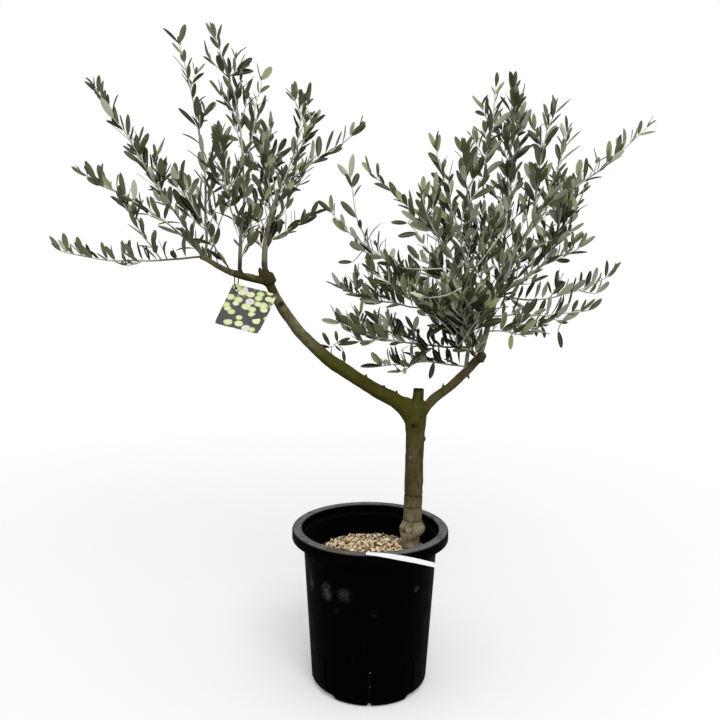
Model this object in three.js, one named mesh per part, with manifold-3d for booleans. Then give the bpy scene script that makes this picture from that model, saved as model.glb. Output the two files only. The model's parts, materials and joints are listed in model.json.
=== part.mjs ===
// A young olive tree in a black slit pot: a forked trunk, two boughs, and a crown of long leafy shoots.
// Units are millimetres. +Z is up, +X is to the right seen from the front, and the front faces -Y.
// The origin is on the flat underside of the pot, on the pot's axis.

import * as THREE from "three";
import { mergeVertices } from "three/addons/utils/BufferGeometryUtils.js";
import Module from "manifold-3d";

const wasm = await Module();
wasm.setup();

// ---- Driving dimensions ----

const GAP = 0.4; // room left between neighbours

const POT = {
  height: 266,
  rimRadius: 130,
  rimBand: 18,
  rimWidth: 16,
  rimRound: 5,
  wallTopRadius: 111.5,
  wallFootRadius: 96.5,
  wall: 2.5,
  floor: 3.5,
  footRound: 8,
  lipStep: 2,
  segments: 30,
};

const SLIT = { count: 8, width: 4.5, height: 64, reach: 62, overcut: 2 };

const SOIL = { top: 219, edgeDrop: 3, edgeWidth: 10 };

// Each girth is a height above the soil and the trunk's radius there: the root flare, the swollen graft
// collar, the straight stem, the swell under the fork, and the stub where the old leader was cut away.
const TRUNK = {
  foot: { x: 72, y: 30 },
  fork: { x: 75, y: 30, z: 458 },
  sides: 12,
  girths: [
    { up: 0, radius: 18 },
    { up: 12, radius: 16.6 },
    { up: 27, radius: 20.5 },
    { up: 42, radius: 15.5 },
    { up: 110, radius: 14.8 },
    { up: 198, radius: 15.2 },
    { up: 227, radius: 17.5 },
    { up: 239, radius: 19 },
    { up: 251, radius: 12.4 },
    { up: 257, radius: 9.5 },
    { up: 275, radius: 9.5 },
  ],
};

// A limb or a mass leaves its parent at the share `at` of the parent's length. `lean` is its angle from
// upright in degrees, positive to the right, and `toward` its angle to the front; each turns evenly from
// the first value to the second over `length`. A limb tapers over `radii`.
const LIMBS = [
  { name: "left_bough_lower", from: "fork", at: 1, lean: [-68.5, -50], toward: [5, 5], length: 169,
    radii: [13, 9.8] },
  { name: "left_bough_upper", from: "left_bough_lower", at: 1, lean: [-55, -17.5], toward: [5, 0], length: 182,
    radii: [9.8, 7.6] },
  { name: "left_arm", from: "left_bough_upper", at: 0.9, lean: [-88, -50], toward: [10, 0], length: 115,
    radii: [6.2, 4] },
  { name: "left_leader", from: "left_bough_upper", at: 1, lean: [-4, 24], toward: [-10, -10], length: 135,
    radii: [5, 3] },
  { name: "left_upright", from: "left_arm", at: 0.4, lean: [2, 6], toward: [10, 5], length: 100,
    radii: [3.4, 2.4] },
  { name: "right_bough", from: "fork", at: 1, lean: [61, 35.5], toward: [5, 0], length: 141,
    radii: [8.6, 6.2] },
  { name: "right_upright", from: "right_bough", at: 1, lean: [14, 16], toward: [-5, -5], length: 150,
    radii: [5.2, 3.4] },
  { name: "right_inner", from: "right_bough", at: 0.75, lean: [-4, 26], toward: [12, 5], length: 115,
    radii: [3.4, 2.4] },
  { name: "right_side", from: "right_upright", at: 0.7, lean: [66, 44], toward: [5, 5], length: 100,
    radii: [3, 2.2] },
  { name: "right_lift", from: "right_upright", at: 1, lean: [30, 26], toward: [10, 10], length: 115,
    radii: [3.2, 2.2] },
];

const LIMB = { ringSpacing: 25, stoutRadius: 6, stoutSides: 9, slimSides: 6 };

// A mass swells from its base to its `girth` (a radius) and draws in to its tip.
const MASSES = [
  { name: "left_spire", from: "left_upright", at: 1, lean: [8, -28], toward: [5, 0], length: 295, girth: 28 },
  { name: "left_spire_side", from: "left_spire", at: 0.6, lean: [26, 8], toward: [14, 10], length: 90,
    girth: 20 },
  { name: "left_spire_rear", from: "left_spire", at: 0.4, lean: [32, -14], toward: [-34, -15], length: 140,
    girth: 22 },
  { name: "left_outer_spire", from: "left_arm", at: 0.95, lean: [4, -20], toward: [-8, 0], length: 370,
    girth: 26 },
  { name: "left_crest", from: "left_leader", at: 1, lean: [22, 2], toward: [-10, 0], length: 175, girth: 34 },
  { name: "left_inward", from: "left_crest", at: 0.2, lean: [82, 32], toward: [8, 5], length: 165,
    girth: 21 },
  { name: "left_inward_low", from: "left_leader", at: 0.35, lean: [72, 48], toward: [18, 10], length: 115,
    girth: 19 },
  { name: "left_rear", from: "left_leader", at: 0.75, lean: [-28, 18], toward: [-52, -30], length: 235,
    girth: 32 },
  { name: "left_centre", from: "left_upright", at: 0.65, lean: [-14, 4], toward: [46, 22], length: 195,
    girth: 28 },
  { name: "left_centre_rear", from: "left_arm", at: 0.9, lean: [10, 10], toward: [-50, -28], length: 230,
    girth: 28 },
  { name: "left_reach", from: "left_arm", at: 1, lean: [-44, -70], toward: [5, 0], length: 255, girth: 23 },
  { name: "left_arch", from: "left_arm", at: 1, lean: [-36, -30], toward: [-15, 0], length: 355, girth: 22 },
  { name: "left_trail", from: "left_arm", at: 1, lean: [-102, -72], toward: [18, 6], length: 245, girth: 20 },
  { name: "left_trail_side", from: "left_trail", at: 0.25, lean: [-48, -14], toward: [-14, -10], length: 140,
    girth: 20 },
  { name: "left_front", from: "left_arm", at: 0.55, lean: [-14, -20], toward: [62, 40], length: 235,
    girth: 28 },
  { name: "left_rear_low", from: "left_leader", at: 0.5, lean: [32, 14], toward: [-50, -36], length: 230,
    girth: 28 },
  { name: "core_middle", from: "right_inner", at: 1, lean: [-2, -2], toward: [0, 0], length: 175, girth: 34 },
  { name: "core_left", from: "right_inner", at: 0.95, lean: [-22, -14], toward: [16, 6], length: 290,
    girth: 30 },
  { name: "core_right", from: "right_upright", at: 1, lean: [4, 6], toward: [-18, -6], length: 180,
    girth: 34 },
  { name: "core_front", from: "right_bough", at: 0.9, lean: [-26, -12], toward: [54, 36], length: 225,
    girth: 36 },
  { name: "core_rear", from: "right_upright", at: 0.45, lean: [30, 22], toward: [-50, -30], length: 270,
    girth: 34 },
  { name: "core_rear_left", from: "right_inner", at: 0.9, lean: [-42, -30], toward: [-52, -36], length: 230,
    girth: 32 },
  { name: "core_front_right", from: "right_upright", at: 0.8, lean: [20, 2], toward: [60, 38], length: 185,
    girth: 30 },
  { name: "core_front_left", from: "right_inner", at: 0.45, lean: [-50, -32], toward: [54, 40], length: 185,
    girth: 30 },
  { name: "crest_left", from: "core_middle", at: 0.95, lean: [6, 6], toward: [-4, -4], length: 210,
    girth: 27 },
  { name: "crest_middle", from: "core_right", at: 0.75, lean: [-10, 8], toward: [16, 10], length: 185,
    girth: 26 },
  { name: "crest_right", from: "right_lift", at: 0.8, lean: [0, 6], toward: [16, 6], length: 180, girth: 27 },
  { name: "crest_far", from: "right_lift", at: 1, lean: [26, 12], toward: [-16, -8], length: 160, girth: 21 },
  { name: "far_right", from: "right_lift", at: 1, lean: [62, 40], toward: [5, 0], length: 230, girth: 22 },
  { name: "right_block", from: "right_side", at: 0.95, lean: [28, 14], toward: [-22, -14], length: 190,
    girth: 32 },
  { name: "right_middle", from: "right_side", at: 0.95, lean: [90, 10], toward: [24, 14], length: 100,
    girth: 23 },
  { name: "right_flat", from: "right_upright", at: 0.7, lean: [106, 44], toward: [8, 4], length: 220,
    girth: 23 },
  { name: "right_hanging", from: "right_upright", at: 0.45, lean: [88, 80], toward: [18, 8], length: 185,
    girth: 21 },
  { name: "right_low", from: "right_upright", at: 0.3, lean: [94, 72], toward: [34, 26], length: 115,
    girth: 25 },
  { name: "thin_spire", from: "core_left", at: 0.35, lean: [-2, -6], toward: [24, 12], length: 185,
    girth: 20 },
  { name: "inward_long", from: "core_middle", at: 0.3, lean: [-104, -28], toward: [14, 10], length: 310,
    girth: 21 },
  { name: "inward_long_side", from: "inward_long", at: 0.65, lean: [-22, 0], toward: [10, 0], length: 140,
    girth: 20 },
  { name: "inward_high", from: "core_left", at: 0.4, lean: [-56, -48], toward: [-16, -12], length: 215,
    girth: 20 },
  { name: "inward_high_front", from: "core_left", at: 0.25, lean: [-66, 0], toward: [38, 24], length: 195,
    girth: 26 },
  { name: "inward_middle", from: "right_inner", at: 0.65, lean: [-68, -50], toward: [20, 14], length: 230,
    girth: 28 },
  { name: "inward_rear", from: "inward_middle", at: 0.45, lean: [-100, -58], toward: [-34, -20], length: 165,
    girth: 25 },
  { name: "inward_low", from: "right_inner", at: 0.4, lean: [-96, -60], toward: [14, 12], length: 250,
    girth: 26 },
  { name: "inward_droop", from: "right_bough", at: 0.8, lean: [-74, -102], toward: [18, 15], length: 185,
    girth: 18 },
];

const MASS = {
  ringSpacing: 36,
  fewestRings: 6,
  mostRings: 8,
  sides: 6,
  baseShare: 0.22,
  tipShare: 0.18,
  fullness: 0.8,
};

// The lobes that make each mass uneven: how many to the turn, how they twist from base to tip, how far
// they are turned from one mass to the next, and how deep they are as a share of the radius.
const LOBES = [
  { count: 2, twist: 1.3, shift: 2.4, depth: 0.17 },
  { count: 3, twist: -2.1, shift: 1.1, depth: 0.1 },
];

const TAG = {
  across: new THREE.Vector3(68, -28, -14),
  down: new THREE.Vector3(-26, -30, -62),
  thickness: 1,
  cornerRound: 4,
  holeRadius: 4.3,
  holeInset: 8.5,
  holeSlack: -0.9,
  curveSegments: 6,
};

const LOOP = {
  carrier: "left_arm",
  at: 0.45,
  drop: 24,
  slantShare: 1.22,
  threadRadius: 0.7,
  sides: 5,
  steps: 14,
};

const STRIP = {
  length: 109,
  width: 8,
  thickness: 0.8,
  start: -8,
  top: 268,
  stand: 4,
  dip: 16,
  sag: 1.6,
  steps: 6,
};

const COLOURS = {
  plastic: 0x111214,
  earth: 0xa98e6c,
  bark: 0x5d5338,
  youngBark: 0x6f6a4c,
  foliage: [0x57664a, 0x64735a, 0x4d5b41, 0x728066],
  card: 0x7f8f4a,
  thread: 0x3a352c,
  label: 0xf4f3ee,
};

// ---- Solids: manifold-3d joins and cuts, three.js makes every shape ----

function solidOf(geometry) {
  const bare = geometry.clone();
  bare.deleteAttribute("normal");
  bare.deleteAttribute("uv");
  const merged = mergeVertices(bare, 1e-3);
  return new wasm.Manifold(
    new wasm.Mesh({
      numProp: 3,
      vertProperties: new Float32Array(merged.attributes.position.array),
      triVerts: new Uint32Array(merged.index.array),
    }),
  );
}

function geometryOf(solid) {
  const mesh = solid.getMesh();
  const geometry = new THREE.BufferGeometry();
  geometry.setAttribute("position", new THREE.BufferAttribute(mesh.vertProperties, mesh.numProp));
  geometry.setIndex(new THREE.BufferAttribute(mesh.triVerts, 1));
  geometry.computeVertexNormals();
  return geometry;
}

function largestBody(solid) {
  return solid.decompose().reduce((best, body) => (body.volume() > best.volume() ? body : best));
}

// ---- Growth: the centre line of every limb and mass ----

const GROWTH_STEPS = 12;

function growthCurve({ lean, toward, length }, start) {
  const points = [start.clone()];
  for (let i = 0; i < GROWTH_STEPS; i += 1) {
    const share = (i + 0.5) / GROWTH_STEPS;
    const side = THREE.MathUtils.degToRad(THREE.MathUtils.lerp(lean[0], lean[1], share));
    const front = THREE.MathUtils.degToRad(THREE.MathUtils.lerp(toward[0], toward[1], share));
    const step = new THREE.Vector3(
      Math.sin(side) * Math.cos(front),
      -Math.sin(front),
      Math.cos(side) * Math.cos(front),
    );
    points.push(points.at(-1).clone().addScaledVector(step, length / GROWTH_STEPS));
  }
  return new THREE.CatmullRomCurve3(points);
}

// A turned body of one radius per ring, bent along a curve. `uneven` gives each vertex's share of its
// ring's radius, and `grow` makes the body thicker and longer by that much all round.
function bentBody(curve, radii, sides, uneven, grow) {
  const rings = radii.length;
  const profile = [new THREE.Vector2(0, 0)];
  radii.forEach((radius, ring) => profile.push(new THREE.Vector2(radius, ring)));
  profile.push(new THREE.Vector2(0, rings - 1));
  const body = new THREE.LatheGeometry(profile, sides);
  const frames = curve.computeFrenetFrames(rings - 1, false);
  const position = body.attributes.position;
  const vertex = new THREE.Vector3();
  for (let i = 0; i < position.count; i += 1) {
    vertex.fromBufferAttribute(position, i);
    const ring = Math.round(vertex.y);
    const share = ring / (rings - 1);
    const radius = Math.hypot(vertex.x, vertex.z);
    const angle = Math.round((Math.atan2(vertex.x, vertex.z) * sides) / (2 * Math.PI)) % sides;
    const scale = radius > 0 ? (radius * uneven(share, angle / sides) + grow) / radius : 0;
    const point = curve.getPointAt(share);
    point.addScaledVector(frames.binormals[ring], vertex.x * scale);
    point.addScaledVector(frames.normals[ring], vertex.z * scale);
    if (share === 0) point.addScaledVector(frames.tangents[ring], -grow);
    if (share === 1) point.addScaledVector(frames.tangents[ring], grow);
    position.setXYZ(i, point.x, point.y, point.z);
  }
  return body;
}

const even = () => 1;

function taperedRadii([first, last], length) {
  const rings = Math.round(length / LIMB.ringSpacing);
  return Array.from({ length: rings }, (_, i) => THREE.MathUtils.lerp(first, last, i / (rings - 1)));
}

function massRadii({ girth, length }) {
  const wanted = Math.round(length / MASS.ringSpacing);
  const rings = THREE.MathUtils.clamp(wanted, MASS.fewestRings, MASS.mostRings);
  return Array.from({ length: rings }, (_, i) => {
    const share = i / (rings - 1);
    const end = THREE.MathUtils.lerp(MASS.baseShare, MASS.tipShare, share);
    return girth * (end + (1 - end) * Math.sin(Math.PI * share ** MASS.fullness) ** MASS.fullness);
  });
}

function unevenness(number) {
  return (share, turn) =>
    LOBES.reduce((sum, lobe) => {
      const angle = 2 * Math.PI * (lobe.count * turn + lobe.twist * share) + lobe.shift * number;
      return sum + lobe.depth * Math.sin(angle);
    }, 1);
}

// ---- The pot ----

function innerWallRadius(z) {
  const { wallFootRadius, wallTopRadius, wall, height, rimBand } = POT;
  return THREE.MathUtils.lerp(wallFootRadius, wallTopRadius, z / (height - rimBand)) - wall;
}

function potProfile() {
  const { height, rimRadius, rimBand, rimWidth, rimRound, wall, floor, footRound, lipStep } = POT;
  const bandFoot = height - rimBand;
  const channelTop = height - wall - lipStep;
  const lipInner = rimRadius - rimWidth;
  const outer = (z) => innerWallRadius(z) + wall;
  const points = [new THREE.Vector2(0, 0)];
  const corner = new THREE.Vector2(outer(footRound) - footRound, footRound);
  for (const angle of [-90, -45, 0]) {
    const turn = THREE.MathUtils.degToRad(angle);
    const across = corner.x + footRound * Math.cos(turn);
    points.push(new THREE.Vector2(across, corner.y + footRound * Math.sin(turn)));
  }
  points.push(new THREE.Vector2(outer(bandFoot - lipStep), bandFoot - lipStep));
  points.push(new THREE.Vector2(lipInner + wall, bandFoot + lipStep));
  points.push(new THREE.Vector2(lipInner + wall, channelTop));
  points.push(new THREE.Vector2(rimRadius - wall, channelTop));
  points.push(new THREE.Vector2(rimRadius - wall, bandFoot));
  points.push(new THREE.Vector2(rimRadius, bandFoot));
  for (const angle of [0, 45, 90]) {
    const turn = THREE.MathUtils.degToRad(angle);
    const across = rimRadius - rimRound * (1 - Math.cos(turn));
    points.push(new THREE.Vector2(across, height - rimRound * (1 - Math.sin(turn))));
  }
  points.push(new THREE.Vector2(lipInner, height));
  points.push(new THREE.Vector2(lipInner, bandFoot + 2 * lipStep));
  points.push(new THREE.Vector2(innerWallRadius(bandFoot), bandFoot));
  points.push(new THREE.Vector2(innerWallRadius(footRound), footRound));
  points.push(new THREE.Vector2(innerWallRadius(0) - footRound + floor, floor));
  points.push(new THREE.Vector2(0, floor));
  return points;
}

function upright(geometry) {
  return geometry.rotateX(Math.PI / 2);
}

function potSolid() {
  let pot = solidOf(upright(new THREE.LatheGeometry(potProfile(), POT.segments)));
  const depth = POT.rimRadius - SLIT.reach;
  for (let i = 0; i < SLIT.count; i += 1) {
    const slit = new THREE.BoxGeometry(depth, SLIT.width, SLIT.height + SLIT.overcut);
    slit.translate(SLIT.reach + depth / 2, 0, (SLIT.height - SLIT.overcut) / 2);
    slit.rotateZ((2 * Math.PI * i) / SLIT.count);
    pot = pot.subtract(solidOf(slit));
  }
  return pot;
}

function soilSolid() {
  const { top, edgeDrop, edgeWidth } = SOIL;
  const { floor, footRound, segments } = POT;
  const bottom = floor + GAP;
  const profile = [
    new THREE.Vector2(0, bottom),
    new THREE.Vector2(innerWallRadius(0) - footRound + floor - GAP, bottom),
    new THREE.Vector2(innerWallRadius(footRound) - GAP, footRound + GAP),
    new THREE.Vector2(innerWallRadius(top) - GAP, top - edgeDrop),
    new THREE.Vector2(innerWallRadius(top) - edgeWidth, top),
    new THREE.Vector2(0, top),
  ];
  return solidOf(upright(new THREE.LatheGeometry(profile, segments)));
}

// ---- The tree ----

function trunkSolid(grow) {
  const { foot, fork, girths, sides } = TRUNK;
  const base = SOIL.top + GAP;
  const top = girths.at(-1).up + grow;
  const profile = [new THREE.Vector2(0, -grow)];
  girths.forEach(({ up, radius }, i) => {
    const end = i === 0 ? -grow : top;
    const inside = i > 0 && i < girths.length - 1;
    profile.push(new THREE.Vector2(radius + grow, inside ? up : end));
  });
  profile.push(new THREE.Vector2(0, top));
  const trunk = upright(new THREE.LatheGeometry(profile, sides));
  const position = trunk.attributes.position;
  for (let i = 0; i < position.count; i += 1) {
    const z = position.getZ(i) + base;
    const share = THREE.MathUtils.clamp((z - base) / (fork.z - base), 0, 1);
    const x = position.getX(i) + THREE.MathUtils.lerp(foot.x, fork.x, share);
    const y = position.getY(i) + THREE.MathUtils.lerp(foot.y, fork.y, share);
    position.setXYZ(i, x, y, z);
  }
  return solidOf(trunk);
}

const curves = new Map();
const cutters = [];

function curveFor(row) {
  const { x, y, z } = TRUNK.fork;
  const parent = curves.get(row.from);
  const start = parent ? parent.getPointAt(row.at) : new THREE.Vector3(x, y, z);
  const curve = growthCurve(row, start);
  curves.set(row.name, curve);
  return curve;
}

function boxesMeet(a, b) {
  const first = a.boundingBox();
  const second = b.boundingBox();
  return [0, 1, 2].every((i) => first.min[i] < second.max[i] && second.min[i] < first.max[i]);
}

// Cuts a solid back from every earlier piece of the tree that it meets, and keeps its largest body.
function clearOfEarlier(solid) {
  let clear = solid;
  for (const cutter of cutters) {
    if (boxesMeet(clear, cutter)) clear = clear.subtract(cutter);
  }
  return largestBody(clear);
}

// ---- The hang tag and its loop ----

function tagPlacement(hole) {
  const across = TAG.across.clone().normalize();
  const down = TAG.down.clone();
  down.addScaledVector(across, -down.dot(across)).normalize();
  const normal = new THREE.Vector3().crossVectors(across, down);
  const corner = hole.clone();
  corner.addScaledVector(across, -TAG.holeInset).addScaledVector(down, -TAG.holeInset);
  return new THREE.Matrix4().makeBasis(across, down, normal).setPosition(corner);
}

function tagGeometry(placement) {
  const width = TAG.across.length();
  const height = TAG.down.length();
  const r = TAG.cornerRound;
  const card = new THREE.Shape();
  card.moveTo(r, 0);
  card.lineTo(width - r, 0);
  card.absarc(width - r, r, r, -Math.PI / 2, 0);
  card.lineTo(width, height - r);
  card.absarc(width - r, height - r, r, 0, Math.PI / 2);
  card.lineTo(r, height);
  card.absarc(r, height - r, r, Math.PI / 2, Math.PI);
  card.lineTo(0, r);
  card.absarc(r, r, r, Math.PI, Math.PI * 1.5);
  const hole = new THREE.Path();
  hole.absarc(TAG.holeInset, TAG.holeInset, TAG.holeRadius, 0, Math.PI * 2, true);
  card.holes.push(hole);
  const body = new THREE.ExtrudeGeometry(card, {
    depth: TAG.thickness,
    bevelEnabled: false,
    curveSegments: TAG.curveSegments,
  });
  body.translate(0, 0, -TAG.thickness / 2);
  return body.applyMatrix4(placement);
}

// An egg-shaped ring of thread: round over the limb, and drawn down to a foot that passes through the
// tag's hole, square to the card.
function loopCurve(centre, overTop) {
  const through = new THREE.Vector3().crossVectors(TAG.across, TAG.down).setZ(0).normalize();
  const points = [];
  for (let i = 0; i < LOOP.steps; i += 1) {
    const turn = (2 * Math.PI * i) / LOOP.steps;
    const rise = Math.sin(turn) * (Math.sin(turn) > 0 ? overTop : LOOP.drop);
    const point = centre.clone().addScaledVector(through, overTop * Math.cos(turn));
    points.push(point.setZ(centre.z + rise));
  }
  return new THREE.CatmullRomCurve3(points, true);
}

// A closed ring of thread has no ends, so its round section is turned along the whole curve.
function loopGeometry(curve) {
  return new THREE.TubeGeometry(curve, LOOP.steps, LOOP.threadRadius, LOOP.sides, true);
}

// ---- The blank label strip: one end against the rim, the other sagging clear of it ----

function stripGeometry() {
  const { length, width, thickness, start, top, stand, dip, sag, steps } = STRIP;
  const y = -POT.rimRadius - GAP - thickness / 2;
  const points = [];
  for (let i = 0; i <= steps; i += 1) {
    const share = i / steps;
    const z = top - width / 2 - dip * share ** sag;
    points.push(new THREE.Vector3(start + length * share, y - stand * share ** 2, z));
  }
  const band = new THREE.BoxGeometry(length, thickness, width, steps, 1, 1);
  const position = band.attributes.position;
  for (let i = 0; i < position.count; i += 1) {
    const at = points[Math.round((position.getX(i) / length + 0.5) * steps)];
    position.setXYZ(i, at.x, at.y + position.getY(i), at.z + position.getZ(i));
  }
  return band;
}

// ---- Assembly ----

const tree = new THREE.Group();

function addPiece(name, geometry, color, roughness) {
  const mesh = new THREE.Mesh(geometry, new THREE.MeshStandardMaterial({ color, roughness, metalness: 0 }));
  mesh.name = name;
  tree.add(mesh);
}

addPiece("pot", geometryOf(potSolid()), COLOURS.plastic, 0.42);
addPiece("soil", geometryOf(soilSolid()), COLOURS.earth, 0.95);
addPiece("trunk", geometryOf(trunkSolid(0)), COLOURS.bark, 0.85);
cutters.push(trunkSolid(GAP));

for (const limb of LIMBS) {
  const curve = curveFor(limb);
  const radii = taperedRadii(limb.radii, limb.length);
  const stout = limb.radii[0] > LIMB.stoutRadius;
  const sides = stout ? LIMB.stoutSides : LIMB.slimSides;
  const solid = clearOfEarlier(solidOf(bentBody(curve, radii, sides, even, 0)));
  addPiece(limb.name, geometryOf(solid), stout ? COLOURS.bark : COLOURS.youngBark, 0.85);
  cutters.push(solidOf(bentBody(curve, radii, sides, even, GAP)));
}

MASSES.forEach((mass, number) => {
  const curve = curveFor(mass);
  const radii = massRadii(mass);
  const solid = clearOfEarlier(solidOf(bentBody(curve, radii, MASS.sides, unevenness(number), 0)));
  addPiece(mass.name, geometryOf(solid), COLOURS.foliage[number % COLOURS.foliage.length], 0.7);
  cutters.push(solidOf(bentBody(curve, radii, MASS.sides, unevenness(number), GAP)));
});

const carrier = LIMBS.find((limb) => limb.name === LOOP.carrier);
const loopCentre = curves.get(LOOP.carrier).getPointAt(LOOP.at);
const carrierRadius = THREE.MathUtils.lerp(carrier.radii[0], carrier.radii[1], LOOP.at);
const overTop = carrierRadius * LOOP.slantShare + LOOP.threadRadius + GAP;
const hole = loopCentre.clone().setZ(loopCentre.z - LOOP.drop - TAG.holeSlack);
addPiece("tag_loop", loopGeometry(loopCurve(loopCentre, overTop)), COLOURS.thread, 0.9);
addPiece("tag_card", tagGeometry(tagPlacement(hole)), COLOURS.card, 0.5);
addPiece("label_strip", stripGeometry(), COLOURS.label, 0.5);

export default tree;
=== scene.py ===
"""A young olive tree in a black slit pot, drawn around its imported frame.

The frame gives every size and place: each limb and each mass of foliage is read back as a centre line with a
girth, and the bark, the twigs and the leaves grow along those lines by a seeded rule. Units are metres.
"""

import functools
import heapq
import json
import logging
import math
from dataclasses import dataclass, replace
from enum import Enum

import bmesh
import bpy
import numpy as np
from mathutils import Euler, Matrix, Vector

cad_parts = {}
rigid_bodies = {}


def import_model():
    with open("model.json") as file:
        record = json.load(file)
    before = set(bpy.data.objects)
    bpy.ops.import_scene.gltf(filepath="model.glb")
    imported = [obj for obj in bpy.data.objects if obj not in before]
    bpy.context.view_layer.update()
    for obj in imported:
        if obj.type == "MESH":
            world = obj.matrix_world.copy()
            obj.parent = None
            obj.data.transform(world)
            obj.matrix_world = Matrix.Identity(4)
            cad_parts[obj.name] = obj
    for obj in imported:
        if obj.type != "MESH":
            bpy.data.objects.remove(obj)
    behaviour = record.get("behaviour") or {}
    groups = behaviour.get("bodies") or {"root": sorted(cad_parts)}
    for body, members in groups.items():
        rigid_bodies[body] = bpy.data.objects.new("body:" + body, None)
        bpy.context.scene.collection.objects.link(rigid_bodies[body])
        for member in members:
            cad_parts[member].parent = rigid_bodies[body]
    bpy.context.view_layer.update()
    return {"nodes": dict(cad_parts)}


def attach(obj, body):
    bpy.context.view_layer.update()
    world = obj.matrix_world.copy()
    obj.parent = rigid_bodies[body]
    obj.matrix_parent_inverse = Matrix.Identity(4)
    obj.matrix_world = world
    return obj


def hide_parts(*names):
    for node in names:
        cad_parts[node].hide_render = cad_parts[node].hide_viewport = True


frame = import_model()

logging.basicConfig(level=logging.INFO, format="%(message)s")
log = logging.getLogger("olive")

Array = np.ndarray
Faces = list[list[int]]
Place = tuple[float, float, float]
Tree = bpy.types.NodeTree
Socket = bpy.types.NodeSocket
Sockets = bpy.types.NodeOutputs
Material = bpy.types.Material
Piece = bpy.types.Object
Node = bpy.types.Node
UP = np.array([0.0, 0.0, 1.0])
norm = np.linalg.norm
EVEN = (1.0, 1.0, 1.0)
TRUNK = "trunk"
TURN = 2 * math.pi

# The limb that each limb springs from, parents first.
LIMBS: dict[str, str] = {
    "left_bough_lower": TRUNK,
    "right_bough": TRUNK,
    "left_bough_upper": "left_bough_lower",
    "left_arm": "left_bough_upper",
    "left_leader": "left_bough_upper",
    "left_upright": "left_arm",
    "right_upright": "right_bough",
    "right_inner": "right_bough",
    "right_side": "right_upright",
    "right_lift": "right_upright",
}
# The bough's lower and upper parts are one limb, bent smoothly.
CHAINED = {"left_bough_lower": "left_bough_upper"}
# Young limbs that bear leaves: the share of them that stays bare, how far the leaves reach, and a seed.
LEAFY_LIMBS: dict[str, tuple[float, float, int]] = {
    "left_leader": (0.06, 0.034, 1989),
    "left_upright": (0.15, 0.024, 3982),
    "left_arm": (0.35, 0.022, 6004),
    "right_inner": (0.25, 0.034, 6085),
    "right_upright": (0.25, 0.034, 2346),
    "right_side": (0.2, 0.03, 6024),
    "right_lift": (0.2, 0.03, 3710),
}


@dataclass(frozen=True)
class Mass:
    """A mass of foliage: what it springs from, its seed, its fullness, and how its leaves stand up."""

    parent: str
    seed: int
    fullness: float
    standing: float = 1.0


MASSES: dict[str, Mass] = {
    "left_spire": Mass("left_upright", 4370, 0.83), "left_centre": Mass("left_upright", 4594, 0.98),
    "left_spire_side": Mass("left_spire", 4508, 1.6), "left_spire_rear": Mass("left_spire", 3219, 0.85),
    "left_outer_spire": Mass("left_arm", 3285, 0.85), "left_centre_rear": Mass("left_arm", 2613, 0.75),
    "left_reach": Mass("left_arm", 3996, 0.85, 1.8), "left_arch": Mass("left_arm", 4228, 1.26),
    "left_trail": Mass("left_arm", 3225, 1.0, 2.6), "left_front": Mass("left_arm", 5925, 0.75),
    "left_trail_side": Mass("left_trail", 3751, 1.0, 2.4), "left_crest": Mass("left_leader", 3402, 0.85),
    "left_inward_low": Mass("left_leader", 3410, 1.15), "left_rear": Mass("left_leader", 4807, 0.98),
    "left_rear_low": Mass("left_leader", 4921, 0.75), "left_inward": Mass("left_crest", 3722, 0.72),
    "core_middle": Mass("right_inner", 3261, 1.32), "core_left": Mass("right_inner", 4455, 0.85),
    "core_rear_left": Mass("right_inner", 3807, 0.98), "core_front_left": Mass("right_inner", 3959, 1.15),
    "inward_middle": Mass("right_inner", 6178, 1.29), "inward_low": Mass("right_inner", 3245, 1.32),
    "core_right": Mass("right_upright", 5849, 1.0), "core_rear": Mass("right_upright", 3621, 0.75),
    "core_front_right": Mass("right_upright", 5703, 0.75),
    "right_flat": Mass("right_upright", 3427, 1.0, 3.2),
    "right_hanging": Mass("right_upright", 3969, 0.98, 1.8), "right_low": Mass("right_upright", 4189, 0.98),
    "core_front": Mass("right_bough", 3117, 1.15), "inward_droop": Mass("right_bough", 5390, 1.32, 1.6),
    "crest_right": Mass("right_lift", 4314, 1.0), "crest_far": Mass("right_lift", 6064, 1.15),
    "far_right": Mass("right_lift", 3529, 0.72, 1.6), "right_block": Mass("right_side", 5061, 1.32),
    "right_middle": Mass("right_side", 5303, 0.98), "crest_left": Mass("core_middle", 4087, 0.98),
    "inward_long": Mass("core_middle", 3066, 0.85), "crest_middle": Mass("core_right", 2802, 1.29),
    "thin_spire": Mass("core_left", 5146, 1.32), "inward_high": Mass("core_left", 3588, 0.83),
    "inward_high_front": Mass("core_left", 5431, 1.13), "inward_long_side": Mass("inward_long", 3685, 0.71),
    "inward_rear": Mass("inward_middle", 4842, 1.15),
}


# ---- Small tools ----


def unit(vectors: Array) -> Array:
    """Scales one vector, or one to a row, to length one."""
    return vectors / np.maximum(norm(vectors, axis=-1, keepdims=True), 1e-12)


def square_to(vectors: Array, axes: Array) -> Array:
    """Takes from each vector what runs along its axis, and scales the rest to length one."""
    return unit(vectors - (vectors * axes).sum(-1, keepdims=True) * axes)


def smooth_step(low: float, high: float, values: Array | float) -> Array:
    """Runs smoothly from 0 at low to 1 at high."""
    share = np.clip((values - low) / (high - low), 0, 1)
    return share * share * (3 - 2 * share)


def bell(away: Array, width: float) -> Array:
    """A hump of height 1 over the places that are not far away."""
    return np.exp(-((away / width) ** 2))


def read_off(at: Array | float, walked: Array, rows: Array) -> Array:
    """Reads rows of numbers off at one or more distances along a line."""
    return np.stack([np.interp(at, walked, column) for column in rows.T], -1)


def circle(count: int) -> Array:
    """Evenly spaced directions in the plane, as rows of X and Y."""
    turn = TURN * np.arange(count) / count
    return np.stack([np.cos(turn), np.sin(turn)], 1)


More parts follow.
